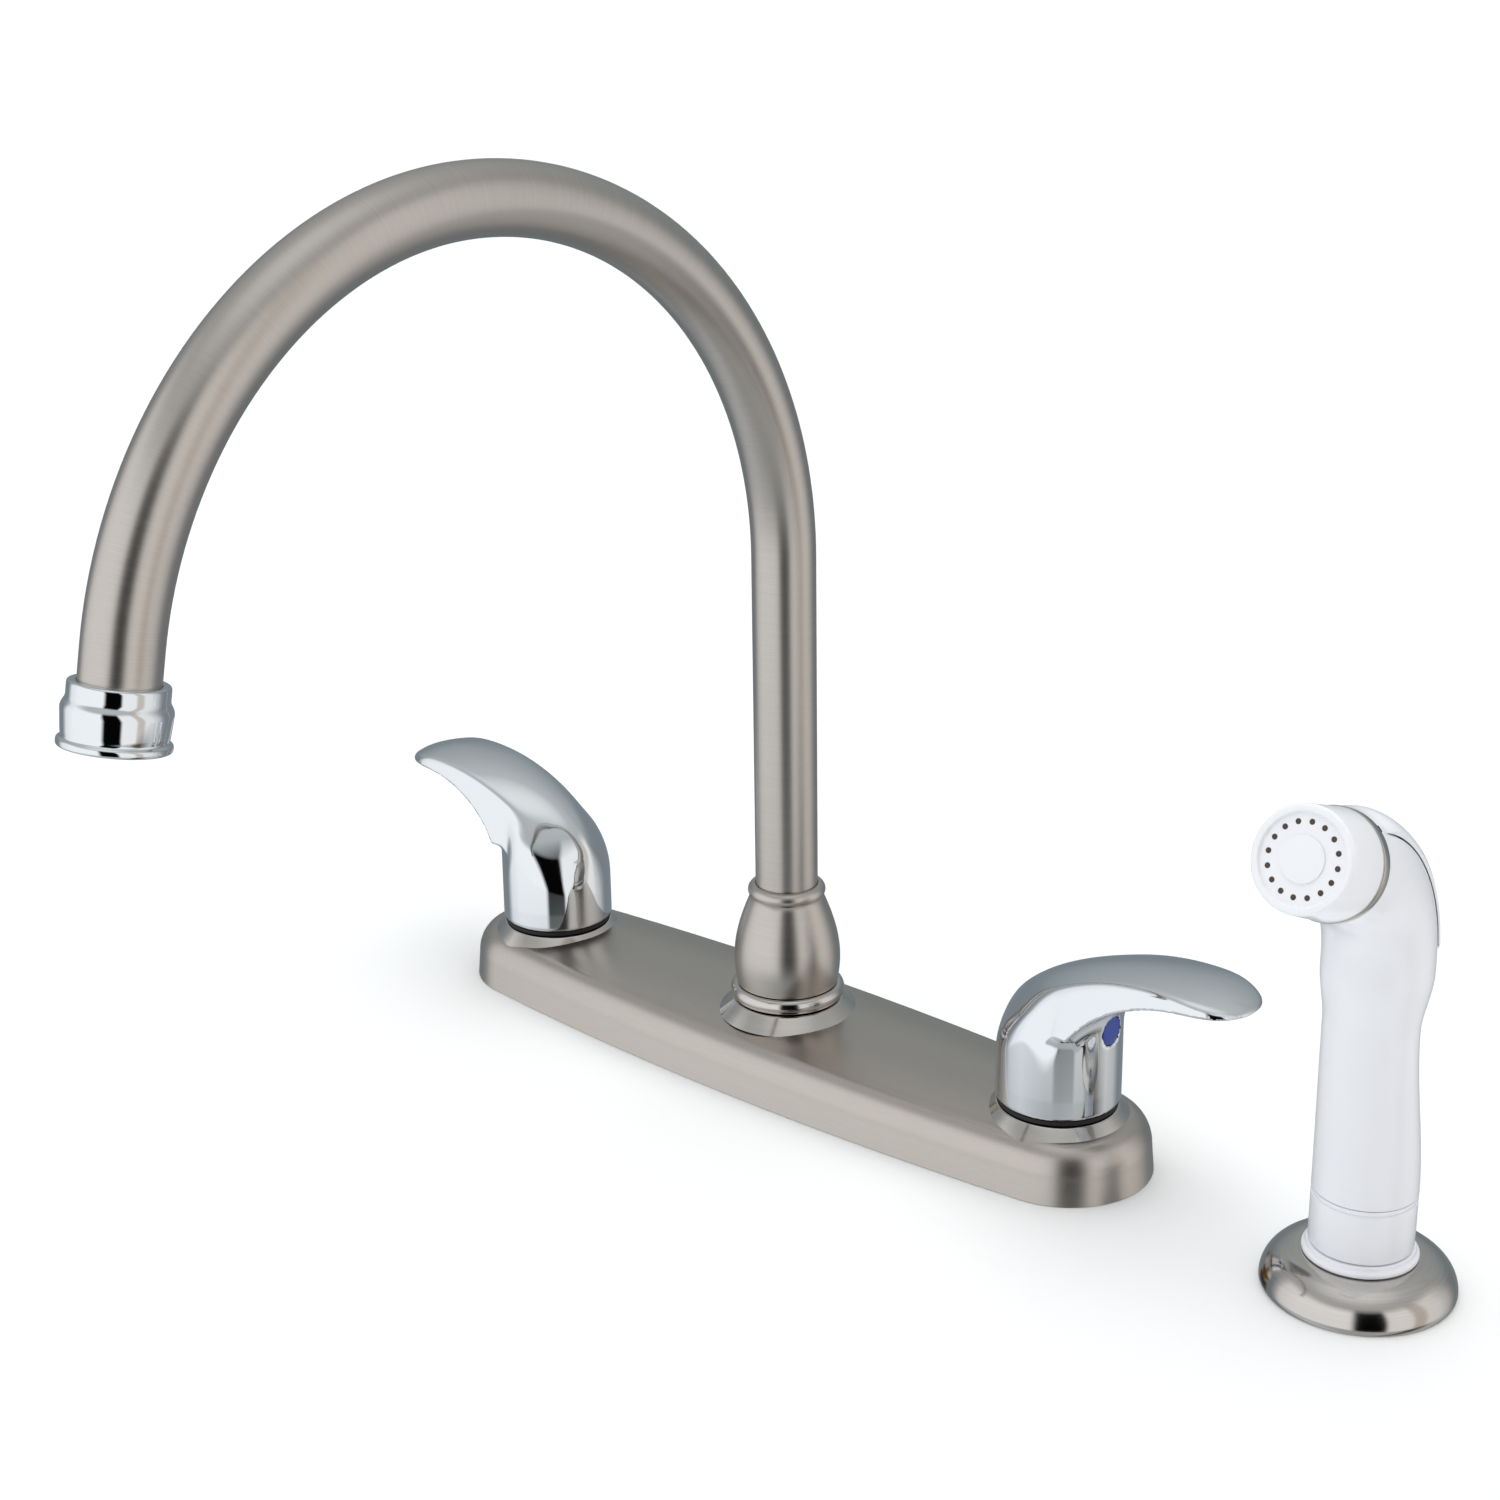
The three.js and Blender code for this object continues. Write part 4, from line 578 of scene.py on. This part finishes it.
# Polished chrome plate: a clear cool mirror of the studio, with the least haze of a wiped surface.
handle_chrome, tree = new_material("polished_chrome_plate")
haze = add_node(tree, "ShaderNodeTexNoise", {"Scale": 40.0, "Detail": 2.0, "Vector": add_node(
    tree, "ShaderNodeTexCoord").outputs["Object"]})
gloss = add_node(tree, "ShaderNodeMapRange", {"Value": haze.outputs["Fac"], "To Min": 0.035, "To Max": 0.075})
finish_material(tree, add_node(tree, "ShaderNodeBsdfPrincipled", {
    "Base Color": linear(0xe3e7ea), "Metallic": 1.0, "Roughness": gloss.outputs["Result"]}))


def moulded(name, colour, rough, coat=0.0):
    """Glossy moulded plastic with the faint orange peel of its mould."""
    made, tree = new_material(name)
    place = add_node(tree, "ShaderNodeTexCoord").outputs["Object"]
    peel = add_node(tree, "ShaderNodeTexNoise", {"Scale": 350.0, "Detail": 1.0, "Vector": place})
    drift = add_node(tree, "ShaderNodeTexNoise", {"Scale": 25.0, "Detail": 1.0, "Vector": place})
    shade = add_node(tree, "ShaderNodeValToRGB", {"Fac": drift.outputs["Fac"]})
    set_ramp(shade, [(0.35, colour[0]), (0.65, colour[1])])
    gloss = add_node(tree, "ShaderNodeMapRange", {
        "Value": peel.outputs["Fac"], "To Min": rough - 0.03, "To Max": rough + 0.03})
    relief = add_node(tree, "ShaderNodeBump", {
        "Height": peel.outputs["Fac"], "Strength": 0.02, "Distance": 0.0002})
    finish_material(tree, add_node(tree, "ShaderNodeBsdfPrincipled", {
        "Base Color": shade.outputs["Color"], "Roughness": gloss.outputs["Result"], "IOR": 1.52,
        "Coat Weight": coat, "Coat Roughness": 0.08, "Normal": relief.outputs[0]}))
    return made


# Acrylic index buttons: deep clean colour under a small sharp highlight.
index_red = moulded("red_acrylic_button", (0xb01822, 0xbd2029), 0.2)
index_blue = moulded("blue_acrylic_button", (0x1b3f9c, 0x2148ad), 0.2)

NET_STEP = 0.6
NET_LOW, NET_HIGH = (-20, -21, -1.5), (65, 21, 52)  # a box round one handle
lever = surface_net(lever_field, NET_LOW, NET_HIGH, NET_STEP)
across = Matrix(((0, 0, 1, 0), (0, 1, 0, 0), (-1, 0, 0, INDEX_HEIGHT), (0, 0, 0, 1)))  # Z laid along the lever
SEAL_BORE_R, SEAL_R = 15.4, 17.5
for side, x, turn_by, button in (("hot", -PITCH, math.pi, index_red), ("cold", PITCH, 0, index_blue)):
    body = f"{side}_lever"
    stand = Matrix.Translation((x, 0, HANDLE_FOOT)) @ Matrix.Rotation(turn_by, 4, "Z")
    piece(f"lever_handle_{side}", placed(lever, stand), handle_chrome, body, [f"handle_{side}"], sharp=50)
    rim = [(INDEX_R, INDEX_RIM - 0.2), (INDEX_R - 0.15, INDEX_RIM)]
    cushion = [(INDEX_R * t, INDEX_RIM + 0.4 * (1 - t * t)) for t in (0.85, 0.6, 0.3, 0.02)]
    dome = turned([(0, INDEX_SEAT + GAP), (INDEX_R, INDEX_SEAT + GAP)] + rim + cushion + [(0, INDEX_FACE)], 48)
    piece(f"index_button_{side}_dome", placed(dome, stand @ across), button, body, [f"index_button_{side}"])
    seal = turned(rounded([(SEAL_BORE_R, GASKET_FOOT, 0.3), (SEAL_R, GASKET_FOOT, 0.4),
                           (SEAL_R, GASKET_FOOT + GASKET_THICK, 0.4),
                           (SEAL_BORE_R, GASKET_FOOT + GASKET_THICK, 0.3)]))
    piece(f"gasket_{side}", placed(seal, Matrix.Translation((x, 0, 0))), rubber, "faucet", [f"handle_gasket_{side}"])


# ---------------------------------------------------------------- spout
# Brass tube of 3/4 in bent to a gooseneck and brushed round, in a turned bell with a rolled bead
# over a rounded foot ring. Only the tube, bell and ring swivel on the hub.
TUBE_R, TUBE_WALL, TUBE_FOOT = 9.525, 1.2, SPOUT_SEAT + 5
RISER_TOP, ARCH_RISE, ARCH_REAR, ARCH_FRONT_R, ARCH_FRONT_ANGLE = 162.5, 115.4, 119.05, 111.2, 77.7
TUBE_END, AERATOR_GRIP = 7.5, 4.0  # straight run before the aerator, and the length it grips


def spout_path():
    """Centre points in the plane x = 0, each with the turn of its section about X."""
    path = [(0.0, z, 0.0) for z in np.linspace(TUBE_FOOT, RISER_TOP, 24, endpoint=False)]
    for t in np.linspace(0, math.pi / 2, 56, endpoint=False):
        path.append((ARCH_REAR * (math.cos(t) - 1), RISER_TOP + ARCH_RISE * math.sin(t),
                     math.atan2(ARCH_REAR * math.sin(t), ARCH_RISE * math.cos(t))))
    for t in np.linspace(0, math.radians(ARCH_FRONT_ANGLE), 48):
        path.append((-ARCH_REAR - ARCH_FRONT_R * math.sin(t),
                     RISER_TOP + ARCH_RISE - ARCH_FRONT_R * (1 - math.cos(t)), math.pi / 2 + t))
    y, z, a = path[-1]
    for run in (TUBE_END / 2, TUBE_END, TUBE_END + AERATOR_GRIP):
        path.append((y - math.sin(a) * run, z + math.cos(a) * run, a))
    return path


def tube_rings(radius, sides=64):
    """Rings of one radius all along the gooseneck."""
    angles = np.arange(sides) * 2 * math.pi / sides
    return [np.stack((radius * np.sin(angles), y + radius * np.cos(angles) * math.cos(a),
                      z + radius * np.cos(angles) * math.sin(a)), 1) for y, z, a in spout_path()]


gooseneck = loft(tube_rings(TUBE_R) + tube_rings(TUBE_R - TUBE_WALL)[::-1], closed=True)
piece("gooseneck_tube", gooseneck, nickel_turned, "spout", ["spout_tube"])

RING_FOOT = SPOUT_SEAT + GAP
RING_HEIGHT, RING_R, RING_BORE_R = 4.8, 17.6, 13.3
half = RING_HEIGHT / 2
side_arc = [(RING_R - half * 0.8 * (1 - math.cos(a)), RING_FOOT + half + half * math.sin(a))
            for a in np.radians(np.linspace(-80, 80, 15))]
foot_ring = turned([(RING_BORE_R, RING_FOOT)] + side_arc + [(RING_BORE_R, RING_FOOT + RING_HEIGHT)])
piece("spout_foot_ring", foot_ring, nickel_bright, "spout", ["spout_ring"])

BELL_FOOT = RING_FOOT + RING_HEIGHT + GAP
BELL_FOOT_R, BELL_BULGE_R, BELL_BULGE_AT, BELL_NECK_R, BELL_HEIGHT = 15.6, 16.35, 8.0, 11.4, 28.0
BEAD_R, BEAD_OUT = 2.2, 0.5
BELL_BORE_R, BELL_BORE_TOP, BELL_CONE_TOP = 13.0, SPOUT_SEAT + 25.3, SPOUT_SEAT + 28.3
bell = [(BELL_FOOT_R + (BELL_BULGE_R - BELL_FOOT_R) * math.sin(t * math.pi / 2), BELL_FOOT + BELL_BULGE_AT * t)
        for t in np.linspace(0, 1, 8)]
for t in np.linspace(0, 1, 19)[1:]:
    closing = 1 - math.cos(t * math.pi / 2) ** 0.95
    bell.append((BELL_BULGE_R + (BELL_NECK_R - BELL_BULGE_R) * closing,
                 BELL_FOOT + BELL_BULGE_AT + (BELL_HEIGHT - BELL_BULGE_AT) * t))
bead_z, bead_at = BELL_FOOT + BELL_HEIGHT + BEAD_R, BELL_NECK_R + BEAD_OUT - BEAD_R
bell += [(bead_at + BEAD_R * math.cos(a), bead_z + BEAD_R * math.sin(a))
         for a in np.radians(np.linspace(-55, 90, 15))]
bell += [(TUBE_R + 0.1, bead_z + BEAD_R - 0.4), (TUBE_R + 0.1, BELL_CONE_TOP), (BELL_BORE_R, BELL_BORE_TOP),
         (BELL_BORE_R, BELL_FOOT)]
piece("bell_collar", turned(bell), nickel_turned, "spout", ["spout_bell"], sharp=35)


# ---------------------------------------------------------------- aerator
# Turned brass shell, polished and chromed, screwed over the end of the tube, with a plastic
# flow straightener inside its mouth. Its side is left plain.
y, z, a = spout_path()[-1]
down = Vector((0, -math.sin(a), math.cos(a)))
top = Vector((0, y, z)) - down * AERATOR_GRIP
at_spout_end = Matrix.Translation(top) @ Matrix.Rotation(a - math.pi, 4, "X")
aerator = turned(rounded([(9.63, 0, 0.2), (11.7, 0, 0.9), (11.7, -4.0, 0.6), (12.8, -5.8, 1.2), (12.3, -11.8, 0.5),
                          (12.1, -12.9, 0.4), (13.1, -13.5, 0.4), (13.1, -15.2, 0.7), (9.6, -15.2, 0.4),
                          (9.6, -13.0, 0.2), (10.1, -13.0), (10.1, -4.3), (9.63, -4.3)]))
piece("aerator_chrome_shell", placed(aerator, at_spout_end), handle_chrome, "spout", ["aerator_shell"])


# ---------------------------------------------------------------- side spray holder
# Pressed flange in bright nickel round a moulded white guide, which is threaded below the deck
# and clamped by a nut, so the hose can run up through it.
SPRAY_X, SPRAY_Y = 200.2, -3.5
at_spray = Matrix.Translation((SPRAY_X, SPRAY_Y, 0))
# Glossy white ABS: cool white with soft shading and a faint sheen, too uneven for a clear mirror image.
white_abs = moulded("white_abs_moulding", (0xf2f3f8, 0xf5f6fa), 0.22, 0.3)
FLANGE_R, FLANGE_CREST_R, FLANGE_TOP, FLANGE_BELT, FLANGE_BORE_R = 25.65, 15.65, 10.0, 0.8, 14.2
flange_side = [(FLANGE_CREST_R + (FLANGE_R - FLANGE_CREST_R) * math.cos(a),
                FLANGE_BELT + (FLANGE_TOP - FLANGE_BELT) * math.sin(a)) for a in np.radians(np.linspace(0, 90, 24))]
flange = turned([(FLANGE_BORE_R, 0), (FLANGE_R - 0.4, 0)] + flange_side
                + [(FLANGE_BORE_R + 0.3, FLANGE_TOP), (FLANGE_BORE_R, FLANGE_TOP - 0.3)], 128)
piece("spray_flange_nickel", placed(flange, at_spray), nickel_bright, "faucet", ["spray_flange"])

LIP_R, LIP_FOOT, LIP_SHOULDER, HOLDER_TOP = 15.2, FLANGE_TOP + GAP, 0.95, 13.0
GUIDE_R, GUIDE_BORE_R, GUIDE_FOOT = 13.4, 11.4, -46
GUIDE_THREAD = (GUIDE_R, -45.3, -4.0, 1.5)  # radius, heights and pitch
lip = rounded([(GUIDE_R, LIP_FOOT), (LIP_R, LIP_FOOT, 0.2), (LIP_R, LIP_FOOT + LIP_SHOULDER, 0.5),
               (LIP_R - LIP_SHOULDER, HOLDER_TOP - 0.9, 0.5), (LIP_R - 1, HOLDER_TOP, 0.4),
               (GUIDE_BORE_R, HOLDER_TOP, 0.3)])
holder = turned([(GUIDE_BORE_R, GUIDE_FOOT), (GUIDE_R - 0.7, GUIDE_FOOT)] + tube_wall(*GUIDE_THREAD) + lip, 96,
                helix(*GUIDE_THREAD))
piece("spray_guide", placed(holder, at_spray), white_abs, "faucet", ["spray_holder"])


# ---------------------------------------------------------------- side spray wand
# White ABS grip, moulded with a waist for the hand, that leans over into the spray head. It stands
# on a collar of its own, whose nose drops into the guide.
WAND_R, SLEEVE_FOOT, SLEEVE_HEIGHT, SEAM_BAND, NOSE = 13.7, HOLDER_TOP + GAP, 14.2, 1.7, 20.6
BAND_FOOT = SLEEVE_FOOT + SLEEVE_HEIGHT
GRIP_FOOT = BAND_FOOT + SEAM_BAND
WAIST = (77.0, -3.7, 12.5, 10.7)  # height, shift, half width, half depth
SHOULDER = (92.0, -2.6, 14.1, 14.0)
ELBOW_START, ELBOW_R, HEAD_TILT, HEAD_STRAIGHT, HEAD_R = 95.4, 33.0, 22.0, 6.5, 14.0
ELBOW_TURN = math.radians(90 - HEAD_TILT)
ELBOW_Y = SHOULDER[1] - ELBOW_R
RING_SINK = 0.55  # the grip ends this far short of the head's seat, under the metal ring


def on_elbow(turn_to, out=0.0):
    """Point on the elbow's centre line, or outside it."""
    return np.array((0, ELBOW_Y + (ELBOW_R + out) * math.cos(turn_to),
                     ELBOW_START + (ELBOW_R + out) * math.sin(turn_to)))


HEAD_AXIS = np.array((0, -math.sin(ELBOW_TURN), math.cos(ELBOW_TURN)))
HEAD_UP = np.array((0, math.cos(ELBOW_TURN), math.sin(ELBOW_TURN)))
RING_SEAT = on_elbow(ELBOW_TURN) + HEAD_AXIS * HEAD_STRAIGHT


def oval(centre, up, half_width, half_depth, sides=72):
    angles = np.arange(sides) * 2 * math.pi / sides
    return (np.asarray(centre, float) + np.outer(np.sin(angles) * half_width, (1, 0, 0))
            + np.outer(np.cos(angles) * half_depth, up))


def ease(t):
    return t * t * (3 - 2 * t)


def grip_rings():
    """Ovals from the collar over waist, shoulder and elbow to the head."""
    rings = []
    for z in np.linspace(GRIP_FOOT, ELBOW_START, 48):
        low, high = ((GRIP_FOOT, 0, WAND_R, WAND_R), WAIST) if z < WAIST[0] else (WAIST, SHOULDER)
        t = ease(min((z - low[0]) / (high[0] - low[0]), 1.0))
        shift, width, depth = (a + (b - a) * t for a, b in zip(low[1:], high[1:]))
        rings.append(oval((0, shift, z), (0, 1, 0), width, depth))
    for t in np.linspace(0, 1, 25)[1:]:
        a = ELBOW_TURN * t
        rings.append(oval(on_elbow(a), (0, math.cos(a), math.sin(a)), SHOULDER[2] + (HEAD_R - SHOULDER[2]) * t,
                          SHOULDER[3] + (HEAD_R - SHOULDER[3]) * t))
    for run in (HEAD_STRAIGHT / 2, HEAD_STRAIGHT - RING_SINK):
        rings.append(oval(on_elbow(ELBOW_TURN) + HEAD_AXIS * run, HEAD_UP, HEAD_R, HEAD_R))
    return rings


grip = piece("wand_grip", placed(loft(grip_rings()), at_spray), white_abs, "sprayer", ["wand_body"])


# ---------------------------------------------------------------- thumb lever
# Long curved ABS shell let into the grip's back, which swings on a steel pin just behind the head
# and presses the valve's push rod. Its pocket, hub room and pin bore are cut out of the grip.
TRIGGER_HALF = (9.4, 11.8)  # half width at the head and at the free end
TRIGGER_IN, TRIGGER_PROUD, TRIGGER_TRAVEL = 11.6, 1.2, 4.5
TRIGGER_START, TRIGGER_END = 0.8, math.radians(9.7)  # behind the ring, and the free end's place on the elbow
PIVOT_BACK, PIVOT_OUT, HUB_R, HUB_HALF, PIN_R, PIN_HALF = 5.0, 8.8, 3.4, 5.5, 1.3, 8.4
PIVOT = RING_SEAT - HEAD_AXIS * PIVOT_BACK + HEAD_UP * PIVOT_OUT
END_SLANT = 0.68  # the free end moves in and down, and both sides of the gap lean along that way
EDGE_RUN, EDGE_FALL, SIDE_DEPTH, WEB_HALF = 0.7, 0.4, 1.4, 8.2
POCKET_START, POCKET_RISE, POCKET_END = -1.0, 6, TRIGGER_END - 0.01


def back_shell(play, over, sink, start, end, cutter=False):
    """Curved bar in the wand's back: its outer face is the grip's own, raised by `over`."""
    stations = [(RING_SEAT - HEAD_AXIS * (start + run), HEAD_UP, 0.0, 1.0, run) for run in (0, 2.0, 4.0)]
    for t in np.linspace(0, 1, 30):
        a = ELBOW_TURN + (end - ELBOW_TURN) * t
        stations.append((on_elbow(a), np.array((0, math.cos(a), math.sin(a))), 0.1 + 0.9 * t, a / ELBOW_TURN,
                         HEAD_STRAIGHT + ELBOW_R * (ELBOW_TURN - a)))
    rings = []
    for k, (at, up, t, headward, run) in enumerate(stations):
        raised = over if cutter else over * ease(min(run / 10, 1))
        wide, deep = (SHOULDER[i] + (HEAD_R - SHOULDER[i]) * headward + raised for i in (2, 3))
        half = TRIGGER_HALF[0] + (TRIGGER_HALF[1] - TRIGGER_HALF[0]) * ease(min(run / 40, 1)) + play
        ring = []
        for x in np.linspace(-half, half, 25):
            edge = 0.0 if cutter else max(0.0, (abs(x) - half + EDGE_RUN) / EDGE_RUN)
            ring.append((x, deep * math.sqrt(1 - (x / wide) ** 2) - EDGE_FALL * edge * edge))
        proud_wide, proud_deep = wide - raised + TRIGGER_PROUD, deep - raised + TRIGGER_PROUD
        side_in = proud_deep * math.sqrt(1 - (half / proud_wide) ** 2) - SIDE_DEPTH - play - sink * t
        web_in = TRIGGER_IN - play - sink * t
        ring += [(half, side_in), (WEB_HALF, web_in), (-WEB_HALF, web_in), (-half, side_in)]
        slant = END_SLANT if k == len(stations) - 1 else 0
        along = np.array((0, -up[2], up[1]))
        rings.append([at + np.array((x, 0, 0)) + up * out + along * slant * (out - proud_deep) for x, out in ring])
    return loft(rings)


def crosswise(radius, half, sides=32):
    """Cylinder along X through the lever's pivot."""
    return placed(turned([(0, -half), (radius, -half), (radius, half), (0, half)], sides),
                  at_spray @ Matrix.Translation(Vector(PIVOT)) @ Matrix.Rotation(math.pi / 2, 4, "Y"))


def cut_with(target, cutter):
    """Cuts one mesh from another and drops the cutter."""
    modifier = target.modifiers.new("cut", "BOOLEAN")
    modifier.operation, modifier.object, modifier.solver = "DIFFERENCE", cutter, "EXACT"
    bpy.context.view_layer.update()
    cut_mesh = bpy.data.meshes.new_from_object(target.evaluated_get(bpy.context.evaluated_depsgraph_get()))
    target.modifiers.clear()
    target.data = cut_mesh
    bpy.data.objects.remove(cutter)
    cut_mesh.set_sharp_from_angle(angle=math.radians(30))


pocket = back_shell(GAP, POCKET_RISE, TRIGGER_TRAVEL, POCKET_START, POCKET_END, cutter=True)
hub_room = crosswise(HUB_R + GAP, HUB_HALF + GAP)
pin_bore = crosswise(PIN_R + 0.1, PIN_HALF + 0.1)
for room in (placed(pocket, at_spray), hub_room, pin_bore):
    cut_with(grip, piece("grip_cutter", room, white_abs, "sprayer"))
thumb = back_shell(0, TRIGGER_PROUD, 0, TRIGGER_START, TRIGGER_END)
piece("thumb_lever", placed(thumb, at_spray), white_abs, "trigger", ["spray_trigger"])
piece("thumb_lever_hub", crosswise(HUB_R, HUB_HALF), white_abs, "trigger", ["spray_trigger"])


# ---------------------------------------------------------------- wand's collar
# Turned-looking ABS collar under the grip, with a fine groove round its seam. Its nose holds the
# brass hose socket.
NOSE_R, GROOVE = 10.9, 0.4
sleeve = turned(rounded([(0.0, SLEEVE_FOOT - NOSE), (NOSE_R, SLEEVE_FOOT - NOSE, 1.0), (NOSE_R, SLEEVE_FOOT),
                         (WAND_R, SLEEVE_FOOT, 0.6), (WAND_R, BAND_FOOT - GROOVE, 0.15),
                         (WAND_R - GROOVE, BAND_FOOT), (WAND_R, BAND_FOOT + GROOVE, 0.15),
                         (WAND_R, GRIP_FOOT - GAP, 0.15), (0.0, GRIP_FOOT - GAP)]))
piece("wand_collar", placed(sleeve, at_spray), white_abs, "sprayer", ["wand_sleeve"])


# ---------------------------------------------------------------- spray head
# Threaded ABS cap over a thin bright ring, with a dished face, a raised disc in the middle and a
# ring of rubber nozzles that can be rubbed clean.
at_head = at_spray @ Matrix.Translation(Vector(RING_SEAT)) @ Matrix.Rotation(ELBOW_TURN, 4, "X")
HEAD_RING_R, HEAD_RING_FOOT, HEAD_RING_TOP = 14.15, -0.4, 2.6
head_ring = turned(rounded([(0.0, HEAD_RING_FOOT), (HEAD_RING_R, HEAD_RING_FOOT, 0.4),
                            (HEAD_RING_R, HEAD_RING_TOP, 0.4), (0.0, HEAD_RING_TOP)]))
piece("spray_head_nickel_ring", placed(head_ring, at_head), nickel_bright, "sprayer", ["spray_head_ring"])
CAP_FOOT, CAP_TOP, CAP_FOOT_R, CAP_TOP_R = 2.75, 17.4, 13.9, 13.25
FACE, DISC_R, DISC_RISE, DISC_WELL_R = CAP_TOP - 0.8, 5.7, 0.45, 5.3
cap = turned(rounded([(0.0, CAP_FOOT), (CAP_FOOT_R, CAP_FOOT, 0.3), (CAP_TOP_R, CAP_TOP, 2.6),
                      (11.35, CAP_TOP, 0.3), (11.0, FACE, 0.3), (DISC_WELL_R, FACE, 0.1),
                      (DISC_WELL_R, FACE - 1.8), (0.0, FACE - 1.8)], 6))
piece("spray_cap", placed(cap, at_head), white_abs, "sprayer", ["spray_face"])
disc = turned(rounded([(0.0, FACE - 1.5), (DISC_WELL_R - 0.1, FACE - 1.5), (DISC_WELL_R - 0.1, FACE + 0.02),
                       (DISC_R, FACE + 0.02), (DISC_R, FACE + DISC_RISE, 0.8), (0.0, FACE + DISC_RISE)], 6))
piece("spray_cap_disc", placed(disc, at_head), white_abs, "sprayer", ["spray_face_disc"])
# Soft brown rubber: matt dark dots in the white face.
nozzle_rubber = machined("brown_nozzle_rubber", (0x41352a, 0x514334), 0.0, 0.6, 1500)
NOZZLES, NOZZLE_CIRCLE_R, NOZZLE_R = 16, 9.07, 0.72
eye = turned([(0, FACE - 0.5), (NOZZLE_R, FACE - 0.5), (NOZZLE_R, FACE + 0.05), (0.35, FACE + 0.12),
              (0, FACE + 0.12)], 16)
for i in range(NOZZLES):
    a = 2 * math.pi * i / NOZZLES
    on_circle = Matrix.Translation((NOZZLE_CIRCLE_R * math.cos(a), NOZZLE_CIRCLE_R * math.sin(a), 0))
    piece(f"nozzle_{i + 1:02d}", placed(eye, at_head @ on_circle), nozzle_rubber, "sprayer", ["spray_face"])
